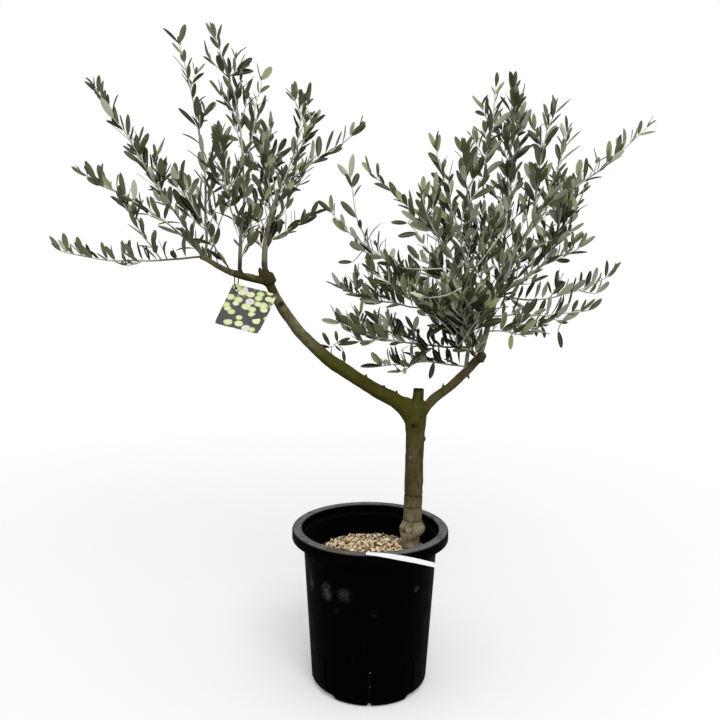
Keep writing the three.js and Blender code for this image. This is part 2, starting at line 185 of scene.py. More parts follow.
def value_noise(points: Array, cell: float, seed: int) -> Array:
    """Smooth noise that takes a new value in each cell of space.

    Args:
        points: Places, one to a row.
        cell: The size of a cell.
        seed: Which noise.

    Returns:
        One value from -1 to 1 for each place.
    """
    scaled = points / cell
    corner = np.floor(scaled).astype(np.int64)
    part = smooth_step(0, 1, scaled - corner)
    total = np.zeros(len(points))
    for step in np.ndindex(2, 2, 2):
        x, y, z = (corner + step).T
        mixed = (x * 73856093) ^ (y * 19349663) ^ (z * 83492791) ^ (seed * 2654435761)
        mixed = ((mixed ^ (mixed >> 13)) * 1274126177) & 0xFFFFFFFF
        value = ((mixed ^ (mixed >> 16)) & 0xFFFF) / 32767.5 - 1
        total += value * np.where(step, part, 1 - part).prod(axis=1)
    return total


def settle(thing: object, **settings: object) -> None:
    """Gives a thing its settings."""
    for key, value in settings.items():
        setattr(thing, key, value)


# ---- Meshes from arrays ----


class MeshData:
    """Vertices and faces that are gathered from arrays, each face with the number of its material."""

    def __init__(self) -> None:
        """Starts with nothing in it."""
        self.points: list[Array] = []
        self.faces: Faces = []
        self.slots: list[int] = []
        self.count = 0

    def add(self, points: Array, faces: Array | Faces, slots: int | Array = 0) -> None:
        """Adds one body.

        Args:
            points: Its vertices.
            faces: Its faces, numbered from its own first vertex.
            slots: The material's number, for all faces or for each.
        """
        self.points.append(np.asarray(points, float).reshape(-1, 3))
        rows = faces.tolist() if isinstance(faces, np.ndarray) else faces
        self.faces.extend([i + self.count for i in face] for face in rows)
        self.slots.extend(np.broadcast_to(slots, len(faces)).tolist())
        self.count += len(self.points[-1])

    def build(self, name: str, materials: list[Material], smooth: bool = True) -> Piece:
        """Makes one object of all that was added.

        Args:
            name: The object's name.
            materials: The materials, in the order of their numbers.
            smooth: Whether the faces are shaded smooth.

        Returns:
            The new object, linked to the scene.
        """
        mesh = bpy.data.meshes.new(name)
        mesh.from_pydata(np.concatenate(self.points).tolist(), [], self.faces)
        mesh.polygons.foreach_set("material_index", np.array(self.slots, np.int32))
        mesh.polygons.foreach_set("use_smooth", np.full(len(self.faces), smooth))
        mesh.update()
        return placed(bpy.data.objects.new(name, mesh), materials)


def repeated(faces: Array, count: int, each: int) -> Array:
    """Numbers the faces of many like bodies, given one body's faces and how many vertices each has."""
    return (faces[None] + (np.arange(count) * each)[:, None, None]).reshape(-1, faces.shape[1])


def bands(rings: int, around: int) -> Array:
    """The quads between rings of points, for rings that are numbered one after another."""
    corner = np.arange(around)
    following = (corner + 1) % around
    rows = (np.arange(rings - 1) * around)[:, None]
    quads = [rows + corner, rows + following, rows + following + around, rows + corner + around]
    return np.stack(quads, -1).reshape(-1, 4)


def closed_faces(rings: int, around: int, turned: bool = False) -> Faces:
    """The faces of a tube of rings, with a fan over each end round a vertex that comes after the rings.

    Args:
        rings: How many rings there are.
        around: How many points each has.
        turned: Whether the faces look the other way.

    Returns:
        The quads, the fan over the first ring and the fan over the last.
    """
    corner = np.arange(around)
    following = (corner + 1) % around
    last = (rings - 1) * around
    walls = bands(rings, around)
    foot = np.stack([following, corner, np.full(around, rings * around)], 1)
    tip = np.stack([corner + last, following + last, np.full(around, rings * around + 1)], 1)
    if turned:
        walls, foot, tip = walls[:, [0, 3, 2, 1]], foot[:, [1, 0, 2]], tip[:, [1, 0, 2]]
    return walls.tolist() + foot.tolist() + tip.tolist()


def placed(piece: Piece, materials: list[Material]) -> Piece:
    """Links a piece to the scene and gives it its materials."""
    bpy.context.scene.collection.objects.link(piece)
    for material in materials:
        piece.data.materials.append(material)
    return piece


def vertex_places(piece: Piece) -> Array:
    """Reads a piece's vertices into an array."""
    flat = np.empty(len(piece.data.vertices) * 3)
    piece.data.vertices.foreach_get("co", flat)
    return flat.reshape(-1, 3)


def vertex_normals(piece: Piece) -> Array:
    """Reads a piece's vertex normals into an array."""
    flat = np.empty(len(piece.data.vertices) * 3, np.float32)
    piece.data.vertex_normals.foreach_get("vector", flat)
    return flat.reshape(-1, 3).astype(float)


def move_vertices(piece: Piece, points: Array) -> None:
    """Puts a piece's vertices at new places."""
    piece.data.vertices.foreach_set("co", points.ravel())
    piece.data.update()


def write_mask(piece: Piece, name: str, values: Array) -> None:
    """Stores one number for each vertex, which a material can read by its name."""
    piece.data.attributes.new(name, "FLOAT", "POINT").data.foreach_set("value", values.astype(np.float32))


def modify(piece: Piece, kind: str, **settings: object) -> None:
    """Changes a piece's mesh by one modifier of a kind, with its settings."""
    settle(piece.modifiers.new(kind.lower(), kind), **settings)
    graph = bpy.context.evaluated_depsgraph_get()
    old = piece.data
    mesh = bpy.data.meshes.new_from_object(piece.evaluated_get(graph))
    piece.modifiers.clear()
    piece.data = mesh
    bpy.data.meshes.remove(old)


def finish_piece(piece: Piece, nodes: tuple[str, ...]) -> None:
    """Ties a finished piece to the frame.

    Args:
        piece: The piece, in its place.
        nodes: The frame's nodes that it stands for.
    """
    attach(piece, "root")
    if nodes:
        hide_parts(*nodes)
    piece.data.calc_loop_triangles()
    log.info("%s: %d triangles, for %d nodes", piece.name, len(piece.data.loop_triangles), len(nodes))


# ---- Centre lines, read from the frame ----


@dataclass
class Stem:
    """A limb or a shoot: a line of points from its foot to its tip, with a radius at each."""

    points: Array
    radii: Array

    @property
    def walked(self) -> Array:
        """The distance along the line to each point."""
        return np.concatenate([[0.0], np.cumsum(norm(np.diff(self.points, axis=0), axis=1))])

    @property
    def length(self) -> float:
        """The length of the whole line."""
        return float(self.walked[-1])

    @property
    def tangents(self) -> Array:
        """The direction of growth at each point."""
        return unit(np.gradient(self.points, axis=0))

    def place(self, distance: float) -> Array:
        """The point at a distance along the line."""
        return read_off(distance, self.walked, self.points)

    def heading(self, distance: float) -> Array:
        """The direction of growth at a distance along the line."""
        return unit(read_off(distance, self.walked, self.tangents))

    def radius(self, distance: float) -> float:
        """The radius at a distance along the line."""
        return float(np.interp(distance, self.walked, self.radii))

    def chosen(self, which: Array) -> "Stem":
        """The same line with only some of its points."""
        return Stem(self.points[which], self.radii[which])

    def followed_by(self, other: "Stem") -> "Stem":
        """This line, and then the points of another."""
        return Stem(np.concatenate([self.points, other.points]), np.concatenate([self.radii, other.radii]))

    def divided(self, stations: Array) -> "Stem":
        """The same line with its points at other distances."""
        walked = self.walked
        return Stem(read_off(stations, walked, self.points), np.interp(stations, walked, self.radii))

    def resampled(self, pitch: float) -> "Stem":
        """The same line, rounded off twice and divided evenly into steps of about the pitch."""
        rows = np.column_stack([self.points, self.radii])
        for _ in range(2 if len(rows) > 2 else 0):
            early = 0.75 * rows[:-1] + 0.25 * rows[1:]
            late = 0.25 * rows[:-1] + 0.75 * rows[1:]
            rows = np.concatenate([rows[:1], np.stack([early, late], 1).reshape(-1, 4)[1:-1], rows[-1:]])
        rounded = Stem(rows[:, :3], rows[:, 3])
        return rounded.divided(np.linspace(0, rounded.length, max(3, round(rounded.length / pitch) + 1)))


class NodeShape:
    """The surface of one node of the frame, as welded vertices and as evenly spread samples."""

    SAMPLES_ACROSS = 7
    ROUNDING = 5

    def __init__(self, name: str) -> None:
        """Reads the node's mesh by the node's name."""
        node = frame["nodes"][name]
        node.data.calc_loop_triangles()
        corners = np.array([t.vertices for t in node.data.loop_triangles])
        places = vertex_places(node).round(self.ROUNDING)
        self.vertices, welded = np.unique(places, axis=0, return_inverse=True)
        self.triangles = welded.ravel()[corners]
        first, second = np.meshgrid(np.arange(self.SAMPLES_ACROSS), np.arange(self.SAMPLES_ACROSS))
        inside = first + second < self.SAMPLES_ACROSS
        shares = (np.stack([first[inside], second[inside]], 1) + 1 / 3) / self.SAMPLES_ACROSS
        self.shares = np.column_stack([1 - shares.sum(1), shares])
        a, b, c = (self.vertices[self.triangles[:, i]] for i in range(3))
        self.samples = self.spread(self.vertices)
        self.weights = np.repeat(norm(np.cross(b - a, c - a), axis=1), len(self.shares))

    def spread(self, values: Array) -> Array:
        """Carries values from the vertices over to the samples."""
        held = values[self.triangles]
        return np.einsum("sc,tc...->ts...", self.shares, held).reshape(-1, *values.shape[1:])

    def walked_from(self, start: int) -> Array:
        """The shortest way along the edges from one vertex, by its number, to every other."""
        edges: dict[int, set[int]] = {}
        for triangle in self.triangles.tolist():
            for one in triangle:
                edges.setdefault(one, set()).update(triangle)
        distance = np.full(len(self.vertices), np.inf)
        distance[start] = 0.0
        queue = [(0.0, start)]
        while queue:
            reached, here = heapq.heappop(queue)
            if reached > distance[here]:
                continue
            for there in edges[here]:
                step = float(norm(self.vertices[there] - self.vertices[here]))
                if reached + step < distance[there]:
                    distance[there] = reached + step
                    heapq.heappush(queue, (distance[there], there))
        return distance

    def sliced(self, measure: Array, pitch: float) -> Stem:
        """Cuts the surface into slices and takes the middle and the girth of each.

        Args:
            measure: How far along the body each sample lies.
            pitch: The thickness of a slice.

        Returns:
            The line through the middles, from the low end of the measure to the high end.
        """
        count = max(4, round(np.ptp(measure) / pitch))
        edges = np.linspace(measure.min(), measure.max(), count + 1)
        which = np.clip(np.searchsorted(edges, measure, side="right") - 1, 0, count - 1)
        slices = [which == number for number in range(count) if (which == number).any()]
        middles = [np.average(self.samples[each], axis=0, weights=self.weights[each]) for each in slices]
        girths = []
        for each, middle, along in zip(slices, middles, unit(np.gradient(np.array(middles), axis=0))):
            off = self.samples[each] - middle
            off = off - (off @ along)[:, None] * along
            girths.append(np.percentile(norm(off, axis=1), 85))
        return Stem(np.array(middles), np.array(girths))


def upright_line(name: str, pitch: float) -> Stem:
    """Reads the centre line of an upright body, slice by slice of its height.

    Args:
        name: The node.
        pitch: The thickness of a slice.

    Returns:
        The line, from the foot up, with its ends on the node's box.
    """
    samples = NodeShape(name).samples
    low, high = samples[:, 2].min(), samples[:, 2].max()
    count = round((high - low) / pitch)
    middles, radii = [], []
    for height in low + (np.arange(count) + 0.5) * (high - low) / count:
        points = samples[np.abs(samples[:, 2] - height) < (high - low) / count, :2]
        middle = (points.min(0) + points.max(0)) / 2
        middles.append([*middle, height])
        radii.append(np.percentile(norm(points - middle, axis=1), 90))
    line = Stem(np.array(middles), np.array(radii))
    line.points[[0, -1], 2] = low, high
    return line


def grown_line(name: str, parent: Stem, pitch: float) -> Stem:
    """Reads the centre line of a bent body and joins its foot to its parent.

    Args:
        name: The node.
        parent: The limb or shoot that it springs from.
        pitch: The thickness of a slice.

    Returns:
        The line from a point on the parent to the body's tip. Its radii are the body's.
    """
    shape = NodeShape(name)
    one = int(shape.walked_from(0).argmax())
    other = int(shape.walked_from(one).argmax())
    gap = [norm(parent.points - shape.vertices[end], axis=1).min() for end in (one, other)]
    measure = shape.walked_from(other if gap[0] < gap[1] else one)
    line = shape.sliced(shape.spread(measure), pitch)
    end = shape.vertices[measure < pitch / 6].mean(0)
    line = Stem(end[None], line.radii[:1]).followed_by(line).chosen(np.s_[::-1])
    foot = foot_on(parent, line.points[0], unit(line.points[1] - line.points[0]))
    return Stem(foot[None], line.radii[:1]).followed_by(line)


def foot_on(parent: Stem, start: Array, heading: Array) -> Array:
    """Follows a shoot back to the point on its parent that it springs from.

    Args:
        parent: The parent.
        start: The shoot's first known point.
        heading: Its direction there.

    Returns:
        The point on the parent's line.
    """
    reach = np.linspace(0, 0.08, 41)
    back = start - reach[:, None] * heading
    line = parent.resampled(0.002).points
    away = norm(back[:, None] - line[None], axis=2) + 0.15 * reach[:, None]
    return line[np.unravel_index(away.argmin(), away.shape)[1]]


class Skeleton:
    """Every limb and mass of the tree as a centre line, each joined to its parent."""

    TRUNK_PITCH = 0.005
    LIMB_PITCH = 0.022
    MASS_PITCH = 0.024
    STEP = 0.008

    def __init__(self) -> None:
        """Reads the lines from the frame, parents first."""
        self.limbs: dict[str, Stem] = {TRUNK: upright_line(TRUNK, self.TRUNK_PITCH)}
        for name, parent in LIMBS.items():
            self.limbs[name] = grown_line(name, self.limbs[parent], self.LIMB_PITCH)
        self.masses: dict[str, Stem] = {}
        for name, mass in MASSES.items():
            stem = self.limbs.get(mass.parent) or self.masses[mass.parent]
            self.masses[name] = grown_line(name, stem, self.MASS_PITCH).resampled(self.STEP)


def tube(stem: Stem, sides: int) -> tuple[Array, Faces]:
    """Sweeps a round section along a stem and closes both ends.

    Args:
        stem: The line and its radii.
        sides: How many corners the section has.

    Returns:
        The vertices and the faces: the walls, then the foot, then the tip.
    """
    tangents = stem.tangents
    sideways = [square_to(np.array([1.0, 0.0, 0.0]) if abs(tangents[0, 0]) < 0.9 else UP, tangents[0])]
    for tangent in tangents[1:]:
        sideways.append(square_to(sideways[-1], tangent))
    across = np.array(sideways)
    over = np.cross(tangents, across)
    x, y = circle(sides).T[:, :, None]
    ring = across[:, None] * x + over[:, None] * y
    wall = stem.points[:, None] + ring * stem.radii[:, None, None]
    points = np.concatenate([wall.reshape(-1, 3), stem.points[:1], stem.points[-1:]])
    return points, closed_faces(len(stem.points), sides)


# ---- Nodes ----


class Wiring:
    """Adds nodes to one node tree and links them."""

    def __init__(self, tree: Tree) -> None:
        """Works on the tree of a material, a group or the world."""
        self.tree = tree

    def node(self, kind: str, inputs: dict[str | int, object] = {}, **settings: object) -> Node:
        """Adds one node.

        Args:
            kind: The node's type, without its first word.
            inputs: A value or a socket to link, for each input by its name or number.
            settings: The node's own settings.

        Returns:
            The new node.
        """
        made = self.tree.nodes.new("ShaderNode" + kind)
        settle(made, **settings)
        for key, value in inputs.items():
            if isinstance(value, Socket):
                self.tree.links.new(value, made.inputs[key])
            else:
                made.inputs[key].default_value = value
        return made

    def blend(self, factor: object, first: object, second: object) -> Socket:
        """Mixes two colours, each a tuple or a socket, with a share of the second."""
        inputs: dict[str | int, object] = {0: factor}
        for number, colour in {6: first, 7: second}.items():
            inputs[number] = (*colour, 1.0) if isinstance(colour, tuple) else colour
        return self.node("Mix", inputs, data_type="RGBA").outputs[2]

    def mix(self, factor: object, first: object, second: object) -> Socket:
        """Mixes two numbers with a share of the second."""
        return self.node("Mix", {0: factor, 2: first, 3: second}, data_type="FLOAT").outputs[0]

    def maths(self, operation: str, first: object, second: object) -> Socket:
        """Works out one number from two, each a number or a socket."""
        return self.node("Math", {0: first, 1: second}, operation=operation).outputs[0]

    def times(self, first: object, second: object) -> Socket:
        """Multiplies two numbers."""
        return self.maths("MULTIPLY", first, second)

    def vector(self, operation: str, first: object, second: object = (0.0, 0.0, 0.0)) -> Socket:
        """Works out one vector from two, or the length of the first."""
        made = self.node("VectorMath", {0: first, 1: second}, operation=operation)
        return made.outputs["Value" if operation == "LENGTH" else "Vector"]

    def spread(self, value: Socket, low: object, high: object, **more: object) -> Socket:
        """Spreads the numbers from low to high.

        Args:
            value: The number.
            low: What becomes 0, or "least".
            high: What becomes 1, or "most".
            more: "least", "most", and the node's own settings.

        Returns:
            The result's socket.
        """
        ends = {"To Min": more.pop("least", 0.0), "To Max": more.pop("most", 1.0)}
        made = self.node("MapRange", {"Value": value, "From Min": low, "From Max": high} | ends, **more)
        return made.outputs["Result"]

    def mask(self, name: str) -> Socket:
        """Reads a number that the mesh stores for each vertex."""
        return self.node("Attribute", attribute_name=name).outputs["Fac"]

    def place(self) -> Socket:
        """The place on the object, in metres."""
        return self.node("TexCoord").outputs["Object"]


def patches_inside(wiring: Wiring, given: Sockets, place: Socket) -> Socket:
    """Spreads soft patches over a surface: mould, dust, wear or a change of colour."""
    inputs = {"Scale": given["Patches per metre"], "Roughness": given["Roughening"], "Detail": 5.0}
    cloud = wiring.node("TexNoise", {"Vector": place} | inputs).outputs["Fac"]
    return wiring.spread(cloud, given["From"], given["To"], interpolation_type="SMOOTHSTEP")


def grain_inside(wiring: Wiring, given: Sockets, place: Socket) -> Socket:
    """Gives a fine, stretched relief: bark fibre, moulded plastic or soil."""
    inputs = {"Vector": place, "Scale": given["Grains per metre"], "Detail": 3.0, "Roughness": 0.6}
    fine = wiring.node("TexNoise", inputs).outputs["Fac"]
    wide = wiring.times(given["Grains per metre"], 0.22)
    coarse = wiring.node("TexNoise", {"Vector": place, "Scale": wide, "Detail": 2.0}).outputs["Fac"]
    return wiring.mix(given["Coarse share"], fine, coarse)


def spot_inside(wiring: Wiring, given: Sockets, place: Socket) -> Socket:
    """Marks the rounded place at the origin."""
    away = wiring.vector("LENGTH", place)
    return wiring.spread(away, given["Outer"], given["Inner"], interpolation_type="SMOOTHSTEP")


# The effects that several finishes share: each one's inner part, its output and its inputs' first values.
EFFECTS = {
    "patches": (
        patches_inside,
        "Mask",
        {"Patches per metre": 50.0, "Roughening": 0.55, "From": 0.4, "To": 0.6},
    ),
    "fine relief": (grain_inside, "Height", {"Grains per metre": 400.0, "Coarse share": 0.5}),
    "spot": (spot_inside, "Mask", {"Inner": 0.004, "Outer": 0.01}),
}


@functools.cache
def effect_group(name: str) -> Tree:
    """Makes the shader node group of one shared effect, once.

    Args:
        name: The effect's name.

    Returns:
        The group. It reads a place, from a centre and stretched along X, Y and Z, and gives one number.
    """
    inside, output, numbers = EFFECTS[name]
    group = bpy.data.node_groups.new(name, "ShaderNodeTree")
    vectors = {"Place": (0.0, 0.0, 0.0), "Centre": (0.0, 0.0, 0.0), "Stretch": EVEN}
    for label, value in (vectors | numbers).items():
        kind = "NodeSocketVector" if label in vectors else "NodeSocketFloat"
        group.interface.new_socket(label, in_out="INPUT", socket_type=kind).default_value = value
    group.interface.new_socket(output, in_out="OUTPUT", socket_type="NodeSocketFloat")
    given = group.nodes.new("NodeGroupInput").outputs
    wiring = Wiring(group)
    off = wiring.vector("SUBTRACT", given["Place"], given["Centre"])
    result = inside(wiring, given, wiring.vector("MULTIPLY", off, given["Stretch"]))
    group.links.new(result, group.nodes.new("NodeGroupOutput").inputs[output])
    return group


class Surface(Wiring):
    """A material, with the shared effects at hand."""

    def __init__(self, name: str, **constants: object) -> None:
        """Starts a material, with values for its shader's sockets, underscores standing for spaces."""
        self.material = bpy.data.materials.new(name)
        self.material.use_nodes = True
        super().__init__(self.material.node_tree)
        self.sockets = self.tree.nodes["Principled BSDF"].inputs
        for key, value in constants.items():
            colour = isinstance(value, tuple)
            self.sockets[key.replace("_", " ")].default_value = (*value, 1.0) if colour else value

    def finished(self, **sockets: Socket) -> Material:
        """Links sockets to the shader's, underscores standing for spaces, and gives the material."""
        for key, value in sockets.items():
            self.tree.links.new(value, self.sockets[key.replace("_", " ")])
        return self.material

    def effect(self, name: str, inputs: dict[str, object]) -> Socket:
        """Places one of the shared effects, with its inputs, and gives its output."""
        given = {"Place": self.place()} | inputs
        return self.node("Group", given, node_tree=effect_group(name)).outputs[0]

    def patches(
        self, per_metre: float, low: float, high: float, stretch: Place = EVEN, shift: float = 0.0
    ) -> Socket:
        """Soft patches, so many to a metre, that start where the noise is low and fill where it is high."""
        inputs = {"Centre": (-shift, -2 * shift, shift), "Stretch": stretch}
        return self.effect("patches", inputs | {"Patches per metre": per_metre, "From": low, "To": high})

    def relief(self, per_metre: float, depth: float, stretch: Place = EVEN) -> Socket:
        """A bump over fine grains, so many to a metre and so many metres deep."""
        inputs = {"Stretch": stretch, "Grains per metre": per_metre, "Coarse share": 0.4}
        height = self.effect("fine relief", inputs)
        return self.node("Bump", {"Height": height, "Distance": depth}).outputs["Normal"]

    def spots(self, marks: tuple["Smudge", ...]) -> Socket:
        """Marks several places, each by its strength."""
        masks = []
        for mark in marks:
            inputs = {name.title(): getattr(mark, name) for name in ("centre", "stretch", "inner", "outer")}
            masks.append(self.times(self.effect("spot", inputs), mark.strength))
        return functools.reduce(functools.partial(self.maths, "MAXIMUM"), masks)


# ---- Finishes ----


@dataclass(frozen=True)
class PlainFinish:
    """One plain colour with a gloss of its own, for small parts that are dealt out by the hundred."""

    name: str
    colour: Place
    roughness: float
    specular: float = 0.3

    def material(self) -> Material:
        """Makes the material."""
        gloss = {"Roughness": self.roughness, "Specular_IOR_Level": self.specular}
        return Surface(self.name, Base_Color=self.colour, **gloss).material


@dataclass(frozen=True)
class FloorFinish:
    """A plain pale floor that throws little light back, and glows a little to the camera, most far off."""

    seen: Place = (0.93, 0.93, 0.93)
    thrown: Place = (0.25, 0.25, 0.25)
    near_glow: float = 0.12
    far_glow: float = 0.36
    near: float = 0.4
    far: float = 3.0

    def material(self) -> Material:
        """Makes the material."""
        on = Surface("floor", Roughness=0.9, Emission_Color=EVEN)
        direct = on.node("LightPath").outputs["Is Camera Ray"]
        away = on.vector("LENGTH", on.place())
        glow = on.spread(away, self.near, self.far, least=self.near_glow, most=self.far_glow)
        colour = on.blend(direct, self.thrown, self.seen)
        return on.finished(Base_Color=colour, Emission_Strength=on.times(direct, glow))


@dataclass(frozen=True)
class BarkFinish:
    """Olive bark: brown under grey, mossy where the mesh says so, dark in its scars, and darkened with
    painted shade in its cracks, creases and hollows.
    """

    name: str = "olive bark"
    brown: Place = (0.088, 0.07, 0.02)
    grey: Place = (0.162, 0.137, 0.062)
    moss: Place = (0.083, 0.083, 0.009)
    pale: Place = (0.36, 0.315, 0.21)
    scar_and_shade: Place = (0.012, 0.01, 0.006)
    weathered: float = 0.68
    flecked: float = 0.6

    def material(self) -> Material:
        """Makes the material."""
        on = Surface(self.name, Roughness=0.82, Specular_IOR_Level=0.15)
        weathered = on.times(on.patches(120, 0.4, 0.7, stretch=(1.0, 1.0, 0.35)), self.weathered)
        colour = on.blend(weathered, self.brown, self.grey)
        mossy = on.times(on.mask("moss"), on.patches(70, 0.22, 0.48, shift=0.3))
        colour = on.blend(mossy, colour, self.moss)
        bleached = on.times(on.mask("pale"), on.patches(90, 0.25, 0.6, shift=0.7))
        colour = on.blend(bleached, colour, self.pale)
        fleck = on.times(on.patches(520, 0.6, 0.7, shift=1.1), self.flecked)
        colour = on.blend(fleck, colour, self.scar_and_shade)
        colour = on.blend(on.mask("scar_and_shade"), colour, self.scar_and_shade)
        return on.finished(Base_Color=colour, Normal=on.relief(900, 0.0004, stretch=(1.0, 1.0, 0.3)))


@dataclass(frozen=True)
class Smudge:
    """One marked place on the pot, a smudge, a patch of dust or a painted streak of sheen: its centre, its
    full and its outer radius, and how each direction is stretched.
    """

    centre: Place
    inner: float
    outer: float
    strength: float
    stretch: Place = EVEN


@dataclass(frozen=True)
class PotFinish:
    """Black moulded plastic with a few smudges, a painted streak of sheen down the left of the wall, painted
    sheen on the top of the lip, and dust on one stretch of it.
    """

    black: Place = (0.0004, 0.0004, 0.0005)
    scuff_and_sheen: Place = (0.085, 0.08, 0.085)
    # Painted sheen: the grey of the lip's top where light catches it.
    lip_sheen: Place = (0.165, 0.165, 0.168)
    dust: Place = (0.13, 0.095, 0.062)
    faint: float = 0.12
    thin_dust: float = 0.06
    dusty_roughness: float = 0.9
    smudges_and_streak: tuple[Smudge, ...] = (
        Smudge((-0.067, -0.08, 0.1872), 0.004, 0.016, 1.0, (1.15, 1.0, 0.8)),
        Smudge((-0.0397, -0.0961, 0.188), 0.002, 0.017, 0.6),
        Smudge((0.0707, -0.0763, 0.1909), 0.0036, 0.0075, 1.0),
        # A painted streak of sheen, reflected light down the left of the wall.
        Smudge((-0.094, -0.0525, 0.1915), 0.002, 0.015, 0.9, (1.7, 1.7, 0.6)),
        Smudge((0.005, -0.104, 0.16), 0.001, 0.009, 0.12),
    )
    dust_from: tuple[Smudge, ...] = (
        Smudge((-0.044, -0.112, 0.264), 0.009, 0.027, 1.0),
        Smudge((-0.022, -0.119, 0.264), 0.009, 0.027, 1.0),
    )

    def material(self) -> Material:
        """Makes the material."""
        on = Surface("pot plastic", Specular_IOR_Level=0.03)
        faint = on.times(on.mask("wall"), on.patches(26, 0.62, 0.76, stretch=(1.0, 1.0, 0.6), shift=0.2))
        # The smudges, with one painted streak of sheen among them, lighten the black.
        scuffs_and_sheen = on.maths("MAXIMUM", on.times(faint, self.faint), on.spots(self.smudges_and_streak))
        scuffs_and_sheen = on.times(scuffs_and_sheen, on.patches(210, 0.3, 0.62))
        colour = on.blend(scuffs_and_sheen, self.black, self.scuff_and_sheen)
        # Painted sheen on the top of the lip, in patches.
        sheen_on_lip = on.times(on.mask("lip"), on.patches(60, 0.18, 0.55, shift=0.5))
        colour = on.blend(sheen_on_lip, colour, self.lip_sheen)
        strewn = on.maths("MAXIMUM", on.spots(self.dust_from), self.thin_dust)
        strewn = on.times(strewn, on.mask("dust"))
        dusty = on.times(strewn, on.patches(190, 0.3, 0.58, shift=0.9))
        colour = on.blend(dusty, colour, self.dust)
        gloss = on.spread(on.patches(45, 0.3, 0.7, shift=1.4), 0.0, 1.0, least=0.34, most=0.5)
        gloss = on.mix(dusty, gloss, self.dusty_roughness)
        return on.finished(Base_Color=colour, Roughness=gloss, Normal=on.relief(700, 0.00006))


@dataclass(frozen=True)
class EarthFinish:
    """The fine earth that fills the room between the granules, painted near black below its top as painted
    shade inside the pot.
    """

    dark: Place = (0.018, 0.011, 0.007)
    painted_shade: Place = (0.003, 0.0022, 0.0016)
    light: Place = (0.12, 0.08, 0.048)

    def material(self) -> Material:
        """Makes the material."""
        on = Surface("potting mix", Roughness=0.95, Specular_IOR_Level=0.2)
        colour = on.blend(on.patches(330, 0.4, 0.62), self.dark, self.light)
        # Painted shade: the earth below the top is darkened to near black.
        colour = on.blend(on.mask("shade_below_top"), colour, self.painted_shade)
        return on.finished(Base_Color=colour, Normal=on.relief(600, 0.0012))


@dataclass(frozen=True)
class PrintFinish:
    """The tag's print: a generic scatter of pale ovals over dark bars, under a thin gloss."""

    ground: Place = (0.062, 0.056, 0.062)
    bar: Place = (0.17, 0.27, 0.12)
    oval: Place = (0.52, 0.62, 0.16)
    light: Place = (0.9, 0.95, 0.55)
    blush: Place = (0.85, 0.78, 0.8)
    ovals_across: float = 5.2
    height_share: float = 1.35
    missing: float = 0.27
    plain: float = 0.94
    bars_below: float = 0.42

    def material(self) -> Material:
        """Makes the material."""
        on = Surface("tag print", Roughness=0.3, Coat_Weight=0.4, Coat_Roughness=0.15)
        card = on.node("Attribute", attribute_name="card").outputs["Vector"]
        across = self.ovals_across
        place = on.vector("MULTIPLY", card, (across, across * self.height_share, 1.0))
        inputs = {"Vector": place, "Scale": 1.0, "Randomness": 0.72}
        cells = on.node("TexVoronoi", inputs, voronoi_dimensions="2D").outputs
        chance = on.node("SeparateColor", {0: cells["Color"]}).outputs
        grown = on.maths("SUBTRACT", cells["Distance"], on.times(chance["Blue"], 0.16))
        inside = on.spread(grown, 0.4, 0.34)
        printed = on.maths("GREATER_THAN", chance["Red"], self.missing)
        shade = on.spread(cells["Distance"], 0.05, 0.4)
        fruit = on.blend(on.times(shade, chance["Green"]), self.light, self.oval)
        fruit = on.blend(on.maths("GREATER_THAN", chance["Red"], self.plain), fruit, self.blush)
        stripes = on.node("TexWave", {"Vector": card, "Scale": 2.2, "Distortion": 3.0}).outputs["Fac"]
        height = on.node("SeparateXYZ", {0: card}).outputs["Y"]
        upper = on.maths("LESS_THAN", height, self.bars_below)
        bars = on.maths("GREATER_THAN", stripes, 0.62)
        bars = on.times(bars, on.times(upper, on.patches(45, 0.5, 0.52)))
        colour = on.blend(bars, self.ground, self.bar)
        return on.finished(Base_Color=on.blend(on.times(inside, printed), colour, fruit))


@dataclass(frozen=True)
class StripFinish:
    """Blank white plastic film, a little yellowed in patches, brightened by a painted glow."""

    white: Place = (0.98, 0.98, 0.97)
    yellowed: Place = (0.93, 0.92, 0.88)
    # Painted light: the film glows a little though it is no lamp.
    glow: float = 0.26

    def material(self) -> Material:
        """Makes the material."""
        glow = {"Emission_Color": EVEN, "Emission_Strength": self.glow}
        on = Surface("strip film", Roughness=0.4, **glow)
        colour = on.blend(on.patches(60, 0.45, 0.75), self.white, self.yellowed)
        return on.finished(Base_Color=colour, Normal=on.relief(300, 0.0001))


# ---- The foliage ----


class UpperTint(Enum):
    """The colours of the leaves' upper sides, dealt out by spray."""

    SLATE = PlainFinish("leaf above, slate", (0.028, 0.037, 0.013), 0.42, 0.3)
    SAGE = PlainFinish("leaf above, sage", (0.095, 0.11, 0.05), 0.45, 0.3)
    OLIVE = PlainFinish("leaf above, olive", (0.046, 0.055, 0.011), 0.42, 0.3)
    DEEP = PlainFinish("leaf above, deep", (0.01, 0.014, 0.0035), 0.4, 0.25)
    YOUNG = PlainFinish("leaf above, young", (0.3, 0.34, 0.18), 0.48, 0.3)


class UnderTint(Enum):
    """The colours of the leaves' undersides, dealt out by spray."""

    SILVER = PlainFinish("leaf beneath, silver", (0.5, 0.53, 0.39), 0.6, 0.2)
    GREY = PlainFinish("leaf beneath, grey", (0.15, 0.165, 0.09), 0.6, 0.2)
    VEIN = PlainFinish("leaf midrib", (0.2, 0.22, 0.11), 0.55, 0.2)


